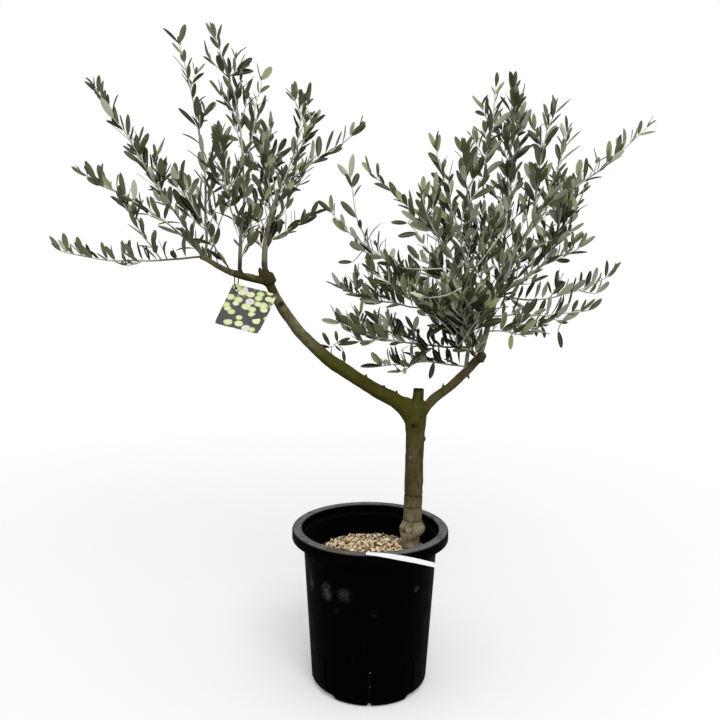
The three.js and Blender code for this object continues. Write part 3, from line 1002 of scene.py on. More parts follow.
class WoodAge(Enum):
    """The colours of the twigs, from last year's to this year's growth. The firm and the green are partly
    their own pale colour and partly painted light, for the white glare that bleeds round thin stems.
    """

    OLD = PlainFinish("twig, old", (0.22, 0.2, 0.145), 0.8)
    # Partly painted light: lightened for the glare round thin stems.
    FIRM = PlainFinish("twig, firm", (0.55, 0.55, 0.44), 0.75)
    GREEN = PlainFinish("twig, green", (0.78, 0.8, 0.67), 0.65)


YOUNG_NUMBER = list(UpperTint).index(UpperTint.YOUNG)
SAGE_NUMBER = list(UpperTint).index(UpperTint.SAGE)


@functools.cache
def tint_material(tint: Enum) -> Material:
    """Makes the material of one plain tint, once."""
    return tint.value.material()


@dataclass(frozen=True)
class LeafShape:
    """One olive leaf as shares of its length: a short stalk, then a blade that is blunt at both ends.

    At each station it has five points: a rim, two beside the midrib, the other rim and one beneath.
    """

    stations: tuple[float, ...] = (0.06, 0.1, 0.16, 0.27, 0.42, 0.58, 0.74, 0.87, 0.95, 0.987)
    stalk: float = 0.07
    stalk_width: float = 0.0011
    rib_width: float = 0.0007
    rib_depth: float = 0.0006

    def half_widths(self) -> Array:
        """The blade's half width at each station, as a share of its greatest."""
        blade = np.clip((np.array(self.stations) - self.stalk) / (1 - self.stalk), 0, 1)
        return (4 * blade**1.08 * (1 - blade**1.08)) ** 0.56

    def column(self, at_rings: Array | list[float], last: float = 0.0) -> Array:
        """Lists one value of each of a leaf's points: the foot, every station's five, and the tip."""
        return np.concatenate([[0.0], at_rings, [last]])

    def triangles(self) -> tuple[Array, Array]:
        """The faces of one leaf, and a kind for each: 0 above, 1 midrib and 2 beneath."""
        faces: list[tuple[int, int, int]] = []
        kinds: list[int] = []
        tip = 5 * len(self.stations) + 1
        for first, second, kind in ((0, 1, 0), (1, 2, 1), (2, 3, 0), (4, 0, 2), (3, 4, 2)):
            for here in range(1, tip - 5, 5):
                there = here + 5
                faces.append((here + first, there + first, there + second))
                faces.append((here + first, there + second, here + second))
            faces.append((0, 1 + first, 1 + second))
            faces.append((tip - 5 + first, tip, tip - 5 + second))
            kinds += [kind] * (2 * len(self.stations))
        return np.array(faces), np.array(kinds)


@dataclass
class LeafRow:
    """Where and how one leaf grows."""

    foot: Array
    axis: Array
    normal: Array
    length: float
    width: float
    bend: float
    fold: float
    twist: float
    upper: int
    under: int


class Leaves:
    """Gathers leaves and makes one joined mesh of them."""

    SHAPE = LeafShape()
    SHARP = math.radians(70)

    def __init__(self) -> None:
        """Starts with no leaves."""
        self.rows: list[LeafRow] = []

    def column(self, name: str) -> Array:
        """Reads one value of every leaf, as a row for each leaf."""
        return np.array([getattr(row, name) for row in self.rows], float)[:, None]

    def bodies(self) -> Array:
        """Works out every leaf's vertices, as leaves by vertices by three."""
        shape = self.SHAPE
        rims = len(shape.stations)
        along = shape.column(np.repeat(shape.stations, 5), last=1.0)
        wide = shape.column(np.repeat(shape.half_widths(), 5))
        edge = shape.column([-1.0, 0.0, 0.0, 1.0, 0.0] * rims)
        rib = shape.column([0.0, -0.5, 0.5, 0.0, 0.0] * rims)
        under = shape.column([0.0, 0.0, 0.0, 0.0, 1.0] * rims)
        length, width, bend, fold, twist = map(self.column, ("length", "width", "bend", "fold", "twist"))
        side = edge * np.maximum(wide * width / 2, shape.stalk_width / 2) + rib * shape.rib_width
        blade = (along > shape.stalk) * np.abs(side) * np.tan(fold)
        turned, roll = bend * along, twist * along
        x = length * along * (1 - turned**2 / 6)
        z = blade - under * shape.rib_depth - length * along * turned / 2
        y, z = side * np.cos(roll), z + side * np.sin(roll)
        axis, normal, foot = map(self.column, ("axis", "normal", "foot"))
        return foot + x[..., None] * axis + y[..., None] * np.cross(normal, axis) + z[..., None] * normal

    def build(self, name: str) -> Piece:
        """Makes the mesh, with the tints dealt out, and gives it a name."""
        points = self.bodies()
        faces, kinds = self.SHAPE.triangles()
        above = self.column("upper").astype(int)
        beneath = self.column("under").astype(int) + len(UpperTint)
        vein = len(UpperTint) + list(UnderTint).index(UnderTint.VEIN)
        slots = np.where(kinds == 0, above, np.where(kinds == 2, beneath, vein)).ravel()
        data = MeshData()
        data.add(points, repeated(faces, *points.shape[:2]), slots)
        piece = data.build(name, [tint_material(tint) for tint in (*UpperTint, *UnderTint)])
        piece.data.set_sharp_from_angle(angle=self.SHARP)
        return piece


@dataclass(frozen=True)
class Growth:
    """The rule by which one shoot puts out pairs of leaves and side twigs."""

    pair_pitch: float = 0.0131
    leaf_length: float = 0.029
    leaf_ratio: float = 0.29
    open_angle: float = 0.86
    lift: float = 0.42
    rise: float = 1.0
    missing: float = 0.16
    twig_girth: float = 0.014
    twig_chance: float = 0.8
    tip_share: float = 0.72
    tip_room: float = 0.031


@dataclass(frozen=True)
class Spray:
    """What the leaves of one shoot share: their part of the crown, rule, chances of the tints and dice."""

    part: str
    rule: Growth
    palette: Array
    rng: np.random.Generator


@dataclass(frozen=True)
class Sprig:
    """A lone shoot: its leaves, each from foot to tip, and where its stem runs, from the wood outward.

    One without leaves is pale and bare, springs from the nearest twig and ends in a few small leaves.
    """

    part: str
    leaves: tuple[tuple[Place, Place], ...] = ()
    stem: tuple[Place, ...] = ()
    thick: float = 0.001


SPRIGS = (
    Sprig(
        "left",
        (
            ((-0.069, 0.021, 0.564), (-0.081, 0.018, 0.587)),
            ((-0.057, 0.019, 0.5705), (-0.036, 0.016, 0.578)),
            ((-0.048, 0.019, 0.559), (-0.0445, 0.016, 0.5385)),
            ((-0.068, 0.021, 0.562), (-0.088, 0.018, 0.566)),
            ((-0.062, 0.02, 0.567), (-0.051, 0.017, 0.556)),
            ((-0.057, 0.019, 0.5705), (-0.06, 0.022, 0.59)),
        ),
        ((-0.066, 0.024, 0.546), (-0.068, 0.021, 0.563), (-0.057, 0.019, 0.5705)),
    ),
    Sprig("right", (((0.3027, 0.01, 0.5951), (0.3099, 0.008, 0.5659)),)),
    Sprig("core", (((0.1008, 0.0, 0.5437), (0.0947, -0.002, 0.5144)),)),
    Sprig("core", (((0.056, 0.018, 0.765), (0.0284, 0.015, 0.7664)),)),
    Sprig("core", (((0.0725, 0.02, 0.7495), (0.04, 0.015, 0.7443)),)),
    Sprig("core", (((-0.0321, 0.0, 0.7021), (-0.0559, -0.003, 0.7018)),)),
    Sprig("core", stem=((0.159, -0.0132, 0.6911), (0.177, -0.0163, 0.7147), (0.1937, -0.0194, 0.7392),
                        (0.2064, -0.0225, 0.7562), (0.2068, -0.0256, 0.7796)), thick=0.0012),
    Sprig("core", stem=((0.1333, -0.0348, 0.5704), (0.1413, -0.0551, 0.5849), (0.1489, -0.0754, 0.6054),
                        (0.1551, -0.0957, 0.6178)), thick=0.0013),
    Sprig("core", stem=((0.12, -0.1212, 0.6627), (0.1064, -0.1148, 0.6541), (0.0801, -0.1084, 0.6505))),
    Sprig("core", stem=((0.1171, -0.0702, 0.6943), (0.0947, -0.0574, 0.6925), (0.0629, -0.0446, 0.6913),
                        (0.0415, -0.0318, 0.6946))),
    Sprig("core", stem=((0.1329, -0.0369, 0.5729), (0.1249, -0.0528, 0.5912), (0.1117, -0.0687, 0.6057),
                        (0.0935, -0.0846, 0.6208)), thick=0.0012),
    Sprig("right", stem=((0.2128, 0.0044, 0.6709), (0.2148, -0.0164, 0.6938), (0.2166, -0.0372, 0.7159),
                         (0.2269, -0.058, 0.7371), (0.2355, -0.0788, 0.755)), thick=0.0017),
)


@dataclass(frozen=True)
class Tones:
    """How one part of the crown is coloured, by the shares of its leaves' tints."""

    upper: tuple[float, ...]
    young: float
    grey: float


PARTS: dict[str, Tones] = {
    # The left part leans to the dark tints and grey undersides: painted shade, which keeps the sparse left
    # as dark as the denser right.
    "left": Tones((1.0, 0.08, 1.0, 3.6), young=0.5, grey=0.8),
    "core": Tones((1.0, 0.75, 1.0, 1.5), young=0.85, grey=0.5),
    "right": Tones((0.9, 0.95, 1.2, 0.8), young=0.9, grey=0.5),
}


class Crown:
    """All twigs and leaves: one shoot along each mass's line, with side twigs where the mass is wide."""

    SEED = 4100
    TWIG_SIDES = 6
    STEP = 0.008
    FULLEST = 1.15
    WANDER = 0.0035
    TIP_THICK = 0.0009
    OLD_LENGTH = 0.17
    BARE_END = 0.004
    # A shoot ends in two small pairs, each with its size and how far it opens.
    TIP_PAIRS = ((1.05, 0.5), (0.42, 0.22))

    def __init__(self, skeleton: Skeleton) -> None:
        """Starts an empty crown along the skeleton's lines."""
        self.skeleton = skeleton
        self.leaves = {part: Leaves() for part in PARTS}
        self.twigs = {part: MeshData() for part in PARTS}

    def part_of(self, name: str) -> str:
        """Which part of the crown a mass or a limb belongs to."""
        first = name.split("_")[0]
        return {"inward": "core", "thin": "core", "crest": "right", "far": "right"}.get(first, first)

    def spray(self, name: str, rule: Growth, rng: np.random.Generator) -> Spray:
        """Starts a spray and chooses how often each upper tint, but the young one, comes up in it."""
        part = self.part_of(name)
        chances = rng.dirichlet([1.3, 1.2, 1.0, 0.8]) * PARTS[part].upper
        return Spray(part, rule, chances / chances.sum(), rng)

    def grow_mass(self, name: str, line: Stem) -> None:
        """Grows one mass's leading shoot and its side twigs.

        Args:
            name: The mass.
            line: Its centre line and girth.
        """
        mass = MASSES[name]
        rng = np.random.default_rng(self.SEED + mass.seed)
        full = min(mass.fullness, self.FULLEST)
        rule = Growth(
            pair_pitch=Growth.pair_pitch / full,
            missing=1 - (1 - Growth.missing) * full,
            twig_chance=Growth.twig_chance * mass.fullness**1.5,
            rise=mass.standing,
        )
        line = line.divided(np.linspace(0, line.length - rule.tip_room, len(line.points)))
        walked = line.walked
        wander = np.stack([value_noise(line.points, 0.045, int(rng.integers(1000))) for _ in range(3)], 1)
        points = line.points + self.WANDER * wander * smooth_step(0.0, 0.05, walked)[:, None]
        thick = self.TIP_THICK + 0.0042 * line.length
        stem = Stem(points, thick + (self.TIP_THICK - thick) * (walked / walked[-1]) ** 0.8)
        spray = self.spray(name, rule, rng)
        self.wood(spray.part, stem, WoodAge.OLD if line.length > self.OLD_LENGTH else WoodAge.FIRM)
        self.dress(stem, line, spray)

    def grow_limb(self, name: str) -> None:
        """Clothes one young limb with leaves and short twigs on its upper part."""
        start, girth, seed = LEAFY_LIMBS[name]
        limb = self.skeleton.limbs[name].resampled(self.STEP)
        stem = limb.chosen(limb.walked >= start * limb.length)
        rule = Growth(pair_pitch=0.015, missing=0.45, twig_chance=1.4)
        spray = self.spray(name, rule, np.random.default_rng(self.SEED + seed))
        self.dress(stem, Stem(stem.points, np.full(len(stem.points), girth)), spray, tip=False)

    def wood(self, part: str, stem: Stem, age: WoodAge) -> None:
        """Adds a twig's tube, in its age's colour at the foot and greener to the tip.

        Args:
            part: Which part of the crown it joins.
            stem: The twig.
            age: Its age at the foot.
        """
        points, faces = tube(stem, self.TWIG_SIDES)
        start = list(WoodAge).index(age)
        count = len(stem.points) - 1
        share = np.repeat(np.arange(count) / count, self.TWIG_SIDES)
        walls = np.minimum(start + (share * (len(WoodAge) - start) * 1.15).astype(int), len(WoodAge) - 1)
        ends = np.repeat([start, walls[-1]], self.TWIG_SIDES)
        self.twigs[part].add(points, faces, np.concatenate([walls, ends]))

    def dress(self, stem: Stem, girth: Stem, spray: Spray, tip: bool = True) -> None:
        """Puts pairs of leaves and side twigs along a leading shoot.

        Args:
            stem: The shoot.
            girth: The same line with the mass's girth as its radii.
            spray: What its leaves share.
            tip: Whether the shoot ends in a bud with its last small leaves.
        """
        rule, rng, length = spray.rule, spray.rng, stem.length
        reach = min(0.022, 0.12 * length)
        turn = rng.uniform(0, TURN)
        while reach < length - self.BARE_END:
            share = reach / length
            wide = girth.radius(reach)
            for way in (0, math.pi):
                angle = turn + way + rng.normal(0, 0.2)
                chance = rule.twig_chance * float(smooth_step(rule.twig_girth, 0.042, wide))
                if rng.random() < chance and share < 0.9:
                    self.side_twig(stem, reach, angle, wide, spray)
                elif rng.random() > rule.missing:
                    self.leaf(stem, reach, angle, share, spray)
            turn += math.pi / 2 + rng.normal(0, 0.15)
            reach += rule.pair_pitch * rng.normal(1.0, 0.12) * (1.12 - 0.3 * share)
        if tip:
            self.finish_tip(stem, turn, spray)

    def side_twig(self, stem: Stem, reach: float, angle: float, wide: float, spray: Spray) -> None:
        """Grows a short twig from a leaf's axil, with pairs of its own.

        Args:
            stem: The shoot that it springs from.
            reach: How far along that shoot.
            angle: Which way round the shoot.
            wide: The mass's girth there.
            spray: What its leaves share.
        """
        rng, along = spray.rng, stem.heading(reach)
        heading = unit(0.62 * along + 0.75 * self.sideways(along, angle) + 0.25 * UP)
        length = float(np.clip(wide * rng.uniform(0.95, 1.5), 0.026, 0.085))
        count = max(5, round(length / 0.007))
        points = [stem.place(reach)]
        for _ in range(count):
            heading = unit(heading + 0.07 * UP + rng.normal(0, 0.035, 3))
            points.append(points[-1] + heading * length / count)
        twig = Stem(np.array(points), np.linspace(0.0012, 0.0007, count + 1))
        self.wood(spray.part, twig, WoodAge.FIRM)
        turn = rng.uniform(0, TURN)
        at = 0.25 * length
        while at < length - self.BARE_END:
            share = 0.35 + 0.65 * at / length
            for way in (0, math.pi):
                if rng.random() > spray.rule.missing:
                    self.leaf(twig, at, turn + way + rng.normal(0, 0.2), share, spray)
            turn += math.pi / 2
            at += spray.rule.pair_pitch * rng.normal(0.9, 0.1)
        self.finish_tip(twig, turn, spray)

    def sideways(self, along: Array, angle: float) -> Array:
        """A direction square to a shoot, at an angle round it."""
        first = square_to(np.array([1.0, 0.15, 0.1]), along)
        return math.cos(angle) * first + math.sin(angle) * np.cross(along, first)

    def leaf(self, stem: Stem, reach: float, angle: float, share: float, spray: Spray) -> None:
        """Puts one leaf on a shoot.

        Args:
            stem: The shoot.
            reach: How far along it.
            angle: Which way round it.
            share: How close to the tip, from 0 to 1.
            spray: What it shares with its neighbours.
        """
        rule, rng, tones = spray.rule, spray.rng, PARTS[spray.part]
        along = stem.heading(reach)
        out = self.sideways(along, angle)
        opened = rule.open_angle * (1.12 - 0.4 * share) + rng.normal(0, 0.16)
        lift = rule.lift * (1 + rule.rise * (1 - abs(float(along[2])))) * rng.uniform(0.5, 1.4)
        axis = unit(math.cos(opened) * along + math.sin(opened) * out + lift * UP)
        young = float(smooth_step(rule.tip_share, 1.0, share))
        length = rule.leaf_length * (1.02 - 0.16 * young) * float(np.clip(rng.normal(1, 0.2), 0.62, 1.4))
        width = length * rule.leaf_ratio * float(np.clip(rng.normal(1, 0.1), 0.78, 1.25))
        normal = square_to(along + 0.35 * UP + rng.normal(0, 0.3, 3), axis)
        roll = rng.normal(0, 0.55)
        normal = unit(math.cos(roll) * normal + math.sin(roll) * np.cross(axis, normal))
        draw, chance = rng.random(), 0.15 + 0.6 * young
        if draw < chance:
            upper = YOUNG_NUMBER if draw < chance * tones.young else SAGE_NUMBER
        else:
            upper = int(rng.choice(len(spray.palette), p=spray.palette))
        foot = stem.place(reach) + out * stem.radius(reach) * 0.5
        bend, fold, twist = rng.normal(0.12, 0.22), rng.normal(0.16, 0.14), rng.normal(0, 0.25)
        under = int(rng.random() < tones.grey)
        row = LeafRow(foot, axis, normal, length, width, bend, fold, twist, upper, under)
        self.leaves[spray.part].rows.append(row)

    def finish_tip(self, stem: Stem, turn: float, spray: Spray) -> None:
        """Ends a shoot in a small upright pair, and a tinier one inside it.

        Args:
            stem: The shoot.
            turn: Which way round the last pair stands.
            spray: What its leaves share.
        """
        for size, opened in self.TIP_PAIRS:
            length = spray.rule.leaf_length * size
            rule = replace(spray.rule, leaf_length=length, open_angle=opened / 0.72, lift=0.3)
            for way in (0, math.pi):
                self.leaf(stem, stem.length, turn + way, 1.0, replace(spray, rule=rule))
            turn += math.pi / 2

    def nearest_wood(self, place: Array) -> Array:
        """The nearest point on any twig's skin."""
        points = np.concatenate([body for wood in self.twigs.values() for body in wood.points])
        return points[norm(points - place, axis=1).argmin()]

    def shoot(self, sprig: Sprig, number: int) -> None:
        """Adds a lone shoot's stem, and ends a bare one in a few small leaves.

        Args:
            sprig: The shoot.
            number: The seed of its small leaves.
        """
        points, bare = np.array(sprig.stem), not sprig.leaves
        if bare:
            points = np.concatenate([[self.nearest_wood(points[0])], points])
        line = Stem(points, np.linspace(sprig.thick, 0.7 * sprig.thick, len(points))).resampled(0.003)
        self.wood(sprig.part, line, WoodAge.GREEN if bare else WoodAge.FIRM)
        if bare:
            rng = np.random.default_rng(self.SEED + number)
            self.finish_tip(line, 0.4, Spray(sprig.part, Growth(), np.full(4, 0.25), rng))

    def lone_leaf(self, part: str, foot: Array, tip: Array, number: int) -> None:
        """Adds one leaf of a lone shoot, on a stalk from the nearest twig.

        Args:
            part: Which part of the crown it joins.
            foot: Where its blade starts.
            tip: Where it ends.
            number: Its number on the shoot, which gives it its tints.
        """
        root = self.nearest_wood(foot)
        share = np.linspace(0, 1, 5)[:, None]
        joined = root + share * (foot - root) - 0.002 * share * (1 - share) * UP
        if norm(foot - root) > 0.001:
            self.wood(part, Stem(joined, np.linspace(0.0009, 0.0007, 5)), WoodAge.FIRM)
        axis = unit(tip - foot)
        length = float(norm(tip - foot))
        normal = square_to(np.array([0.25, -1.0, 0.35 - 0.3 * number]), axis)
        shape = (length, length * Growth.leaf_ratio, 0.12, 0.15, 0.1)
        self.leaves[part].rows.append(LeafRow(foot, axis, normal, *shape, number % 3, number % 2))

    def build(self) -> None:
        """Grows the crown and makes its pieces."""
        for name, line in self.skeleton.masses.items():
            self.grow_mass(name, line)
        for name in LEAFY_LIMBS:
            self.grow_limb(name)
        for number, sprig in enumerate(SPRIGS):
            if sprig.stem:
                self.shoot(sprig, number)
            for each, (foot, tip) in enumerate(sprig.leaves):
                self.lone_leaf(sprig.part, np.array(foot), np.array(tip), each)
        ages = [tint_material(age) for age in WoodAge]
        for part in PARTS:
            nodes = tuple(name for name in self.skeleton.masses if self.part_of(name) == part)
            finish_piece(self.leaves[part].build("leaves_" + part), nodes)
            finish_piece(self.twigs[part].build("twigs_" + part, ages), ())
            log.info("%s: %d leaves", part, len(self.leaves[part].rows))


# ---- The wood ----


@dataclass(frozen=True)
class BarkMark:
    """A local feature of the bark: a bud, a spur, a scar, a pale spot, a painted highlight on a bump or
    painted shade in a hollow.
    """

    place: Place
    size: float
    push: float = 0.0
    scar_and_shade: float = 0.0
    pale: float = 0.0
    moss: float = 0.0


@dataclass(frozen=True)
class Spur:
    """A short stub, spur or knuckle: a rounded body from one place to another."""

    start: Place
    end: Place
    thick: float
    thin: float
    cut: bool = False

    def stem(self) -> Stem:
        """The spur's line, rounded off at both ends unless it was cut straight."""
        share = np.linspace(0, 1, 9)
        points = np.array(self.start) + share[:, None] * (np.array(self.end) - np.array(self.start))
        rounded = 1.0 if self.cut else np.sqrt(np.clip(1 - (2 * share - 1) ** 6, 0.12, 1))
        return Stem(points, (self.thick + (self.thin - self.thick) * share) * rounded)


@dataclass(frozen=True)
class LimbSkin:
    """How old, how mossy and how pale one limb's bark is."""

    relief: float
    moss: float
    pale: float


@dataclass
class BarkSkin:
    """One body of wood: tubes along the limbs, merged, then given the bark's relief."""

    name: str
    slot: str
    skins: dict[str, LimbSkin]
    spurs: tuple[Spur, ...] = ()
    marks: tuple[BarkMark, ...] = ()
    finish: BarkFinish = BarkFinish()
    voxel: float = 0.0011
    sides: int = 20
    root_depth: float = 0.05
    root_spread: float = 0.75
    plumpness: float = 1.05
    trunk_top: float = 0.476
    end_taper: float = 0.14
    crease_heights: tuple[float, ...] = (0.3107, 0.2898, 0.267)
    crease_width: float = 0.0015
    crease_depth: float = 0.0011
    collar_height: float = 0.254
    collar_width: float = 0.0075
    collar_push: float = 0.0026
    waist: float = 0.0048

    PITCH = 0.004
    KNEE_POINTS = 12
    BLOCK = 4096
    QUICK_VOXELS = 2.2
    # The fibre's pattern moves on by this share of the way along a limb, which draws it out.
    STRETCH = 0.22

    def limb_lines(self, skeleton: Skeleton) -> dict[str, Stem]:
        """The limbs' lines by name, each curving out of its parent so that the fork fills out."""
        lines = {}
        for name in self.skins:
            if name in CHAINED.values():
                continue
            stem = skeleton.limbs[name]
            if name in CHAINED:
                after = skeleton.limbs[CHAINED[name]]
                taper = 1 - self.end_taper * smooth_step(0.5, 1.0, after.walked / after.length)
                after = Stem(after.points, after.radii * taper)
                stem = stem.chosen(np.s_[:-1]).followed_by(after.chosen(np.s_[2:]))
            stem = stem.resampled(self.PITCH)
            if name == TRUNK:
                stem = stem.chosen(stem.points[:, 2] < self.trunk_top)
            else:
                stem = self.rooted(stem, skeleton.limbs[LIMBS[name]].resampled(self.PITCH / 2))
            lines[name] = Stem(stem.points, stem.radii * self.plumpness)
        return lines

    def rooted(self, stem: Stem, parent: Stem) -> Stem:
        """Bends a limb's foot down into its parent.

        Args:
            stem: The limb's line.
            parent: The parent's line.

        Returns:
            The line with its foot replaced by a curve that starts along the parent.
        """
        at = float(parent.walked[norm(parent.points - stem.points[0], axis=1).argmin()])
        start = parent.place(max(at - self.root_depth, 0.0))
        knee = parent.place(at - 0.25 * self.root_depth)
        joined = min(self.root_depth * self.root_spread, 0.4 * stem.length)
        share = np.linspace(0, 1, self.KNEE_POINTS)[:, None]
        curve = (1 - share) ** 2 * start + 2 * share * (1 - share) * knee + share**2 * stem.place(joined)
        girth = np.linspace(0.7, 1.0, self.KNEE_POINTS) ** 0.5 * stem.radius(joined)
        return Stem(curve, girth).followed_by(stem.chosen(stem.walked > joined + self.PITCH / 2))

    def merged(self, lines: dict[str, Stem]) -> Piece:
        """Joins the limbs' tubes into one closed skin, still smooth."""
        data = MeshData()
        for stem in lines.values():
            data.add(*tube(stem, self.sides))
        for spur in self.spurs:
            data.add(*tube(spur.stem(), 12))
        piece = data.build(self.name, [self.finish.material()])
        voxel = self.voxel * 1.0
        modify(piece, "REMESH", mode="VOXEL", voxel_size=voxel, use_smooth_shade=True)
        modify(piece, "SMOOTH", factor=0.6, iterations=6)
        return piece

    def nearest(self, lines: dict[str, Stem], points: Array) -> tuple[Array, Array, Array, Array]:
        """Finds each vertex's place on the limbs.

        Args:
            lines: The limbs' lines.
            points: The vertices.

        Returns:
            The nearest limb's number, the offset from its line, its direction and the distance along it.
        """
        fine = [stem.resampled(0.003) for stem in lines.values()]
        limb = np.repeat(np.arange(len(fine)), [len(stem.points) for stem in fine])
        rows = [np.column_stack([stem.points, stem.tangents, stem.walked, stem.radii]) for stem in fine]
        centre, tangent, along, thick = np.split(np.concatenate(rows), (3, 6, 7), axis=1)
        best = np.empty(len(points), int)
        for start in range(0, len(points), self.BLOCK):
            block = points[start : start + self.BLOCK]
            away = norm(block[:, None] - centre[None], axis=2) - thick[:, 0]
            best[start : start + self.BLOCK] = away.argmin(1)
        return limb[best], points - centre[best], tangent[best], along[best, 0]

    def carve(self, piece: Piece, lines: dict[str, Stem]) -> None:
        """Gives the skin its lumps, fibre, rings and marks, and stores the masks for its colours, painted
        shade among them.

        Args:
            piece: The smooth skin.
            lines: The limbs' lines.
        """
        points, normals = vertex_places(piece), vertex_normals(piece)
        limb, offset, tangent, along = self.nearest(lines, points)
        skins = [self.skins[name] for name in lines]
        strength, moss, pale = (
            np.array([getattr(skin, name) for skin in skins])[limb] for name in ("relief", "moss", "pale")
        )
        for number, name in enumerate(lines):
            if name in CHAINED:
                onward = self.skins[CHAINED[name]]
                half = 0.5 * lines[name].length
                share = smooth_step(half + 0.015, half + 0.065, along) * (limb == number)
                moss += share * (onward.moss - moss)
                pale += share * (onward.pale - pale)
        trunk = (limb == 0) & (TRUNK in self.skins)
        strength *= 1 - 0.7 * trunk * smooth_step(0.315, 0.285, points[:, 2])
        straight = offset - (offset * tangent).sum(1)[:, None] * tangent
        fibre = straight + self.STRETCH * along[:, None] * tangent
        cracks = np.abs(value_noise(fibre, 0.0028, 11))
        lumps = 0.0008 * value_noise(points, 0.024, 3) + 0.0005 * value_noise(points, 0.009, 5)
        height = strength * (lumps + 0.00055 * value_noise(fibre, 0.0042, 7) - 0.0005 * cracks)
        # Painted shade: the cracks are darkened in colour as well as cut in.
        dark = smooth_step(0.35, 0.8, cracks) * 0.5 * strength
        if trunk.any():
            for number, level in enumerate(self.crease_heights):
                tilt = 0.06 * math.cos(number * 2.1) * straight[:, 0]
                waved = tilt + 0.0012 * value_noise(points, 0.012, number)
                ring = bell(points[:, 2] - level + waved, self.crease_width)
                height -= self.crease_depth * ring
                # Painted shade in the crease ring.
                dark += 0.5 * ring
            right = smooth_step(-0.2, 0.7, normals[:, 0])
            collar = bell(points[:, 2] - self.collar_height, self.collar_width) * (0.4 + 0.6 * right)
            below = smooth_step(self.collar_height - 0.006, self.collar_height - 0.02, points[:, 2])
            height += trunk * (self.collar_push * collar - self.waist * below * (0.05 + 0.95 * right))
            moss = np.where(trunk, 0.85 * smooth_step(0.385, 0.455, points[:, 2]), moss)
            pale = np.where(trunk, 1 - smooth_step(0.226, 0.33, points[:, 2]), pale)
        scar_and_shade = np.zeros(len(points))
        for mark in self.marks:
            spot = bell(norm(points - np.array(mark.place), axis=1), mark.size)
            height += mark.push * spot
            scar_and_shade = np.maximum(scar_and_shade, mark.scar_and_shade * smooth_step(0.3, 0.6, spot))
            pale = np.maximum(pale * (1 - mark.moss * spot), mark.pale * spot)
            moss = np.maximum(moss, mark.moss * spot)
        move_vertices(piece, points + normals * height[:, None])
        write_mask(piece, "moss", moss)
        write_mask(piece, "pale", pale)
        # The scar mask also carries the painted shade of the cracks, creases and hollows.
        write_mask(piece, "scar_and_shade", np.clip(np.maximum(scar_and_shade, dark), 0, 1))

    def build(self, skeleton: Skeleton) -> None:
        """Makes the wood along the skeleton's lines."""
        lines = self.limb_lines(skeleton)
        piece = self.merged(lines)
        self.carve(piece, lines)
        finish_piece(piece, tuple(self.skins))


# Each limb's relief, moss and paleness.
STOUT = {
    TRUNK: LimbSkin(1.0, 0.0, 0.0),
    "left_bough_lower": LimbSkin(0.8, 1.0, 0.0),
    "left_bough_upper": LimbSkin(0.7, 0.15, 0.3),
    "right_bough": LimbSkin(0.6, 0.08, 0.1),
}
YOUNGER = {
    "left_arm": LimbSkin(0.4, 0.5, 0.1),
    "left_leader": LimbSkin(0.4, 0.1, 0.4),
    "left_upright": LimbSkin(0.35, 0.1, 0.3),
    "right_upright": LimbSkin(0.35, 0.0, 0.6),
    "right_inner": LimbSkin(0.35, 0.0, 0.6),
    "right_side": LimbSkin(0.3, 0.0, 0.7),
    "right_lift": LimbSkin(0.3, 0.0, 0.7),
}
TRUNK_MARKS = (
    # At the collar: painted highlights on the knob and the bump beside it, then painted shade in two
    # hollows.
    BarkMark((0.0515, 0.022, 0.257), 0.005, push=0.0042, pale=1.0),
    BarkMark((0.0615, 0.011, 0.2515), 0.0034, push=0.0016, pale=1.0),
    BarkMark((0.05, 0.019, 0.248), 0.0036, push=-0.0022, scar_and_shade=1.0),
    BarkMark((0.055, 0.0135, 0.2495), 0.005, push=-0.0036, scar_and_shade=1.0),
    BarkMark((0.0722, 0.0145, 0.4335), 0.01, push=0.002),
    BarkMark((0.0705, 0.0145, 0.433), 0.0056, push=-0.0012, scar_and_shade=0.6),
    BarkMark((0.075, 0.0145, 0.4335), 0.0052, push=-0.0012, scar_and_shade=0.6),
    BarkMark((0.0702, 0.014, 0.4325), 0.003, push=-0.0012, scar_and_shade=1.0),
    BarkMark((0.0718, 0.0135, 0.4345), 0.0014, pale=1.0),
    BarkMark((0.0655, 0.0155, 0.378), 0.003, push=0.0008, pale=1.0),
    BarkMark((0.0895, 0.024, 0.4085), 0.0042, push=0.0032),
    BarkMark((0.0785, 0.03, 0.4965), 0.0125, scar_and_shade=0.95),
    BarkMark((0.085, 0.02, 0.479), 0.0055, scar_and_shade=0.45),
    BarkMark((0.069, 0.02, 0.479), 0.005, scar_and_shade=0.45),
    BarkMark((-0.1485, 0.004, 0.6332), 0.0062, push=0.0006, scar_and_shade=0.9),
    BarkMark((0.18, 0.014, 0.546), 0.021, scar_and_shade=0.45),
    # Painted highlights along the bough's upper side.
    BarkMark((-0.1418, 0.002, 0.645), 0.0075, pale=0.8),
    BarkMark((-0.1323, 0.004, 0.6255), 0.0085, pale=0.8),
    BarkMark((-0.1211, 0.006, 0.6043), 0.0085, pale=0.7),
    BarkMark((-0.113, 0.006, 0.5913), 0.007, pale=0.6),
    BarkMark((-0.168, 0.0, 0.668), 0.026, scar_and_shade=0.55, moss=1.0),
    BarkMark((-0.165, 0.0, 0.688), 0.022, scar_and_shade=0.55, moss=1.0),
)
ARM_MARKS = (
    BarkMark((-0.185, 0.0, 0.678), 0.028, scar_and_shade=0.65, moss=1.0),
    BarkMark((-0.203, 0.0, 0.686), 0.022, scar_and_shade=0.6, moss=1.0),
)
YOUNG_FINISH = BarkFinish(
    "younger bark", brown=(0.15, 0.13, 0.075), grey=(0.27, 0.245, 0.165), pale=(0.46, 0.43, 0.34)
)
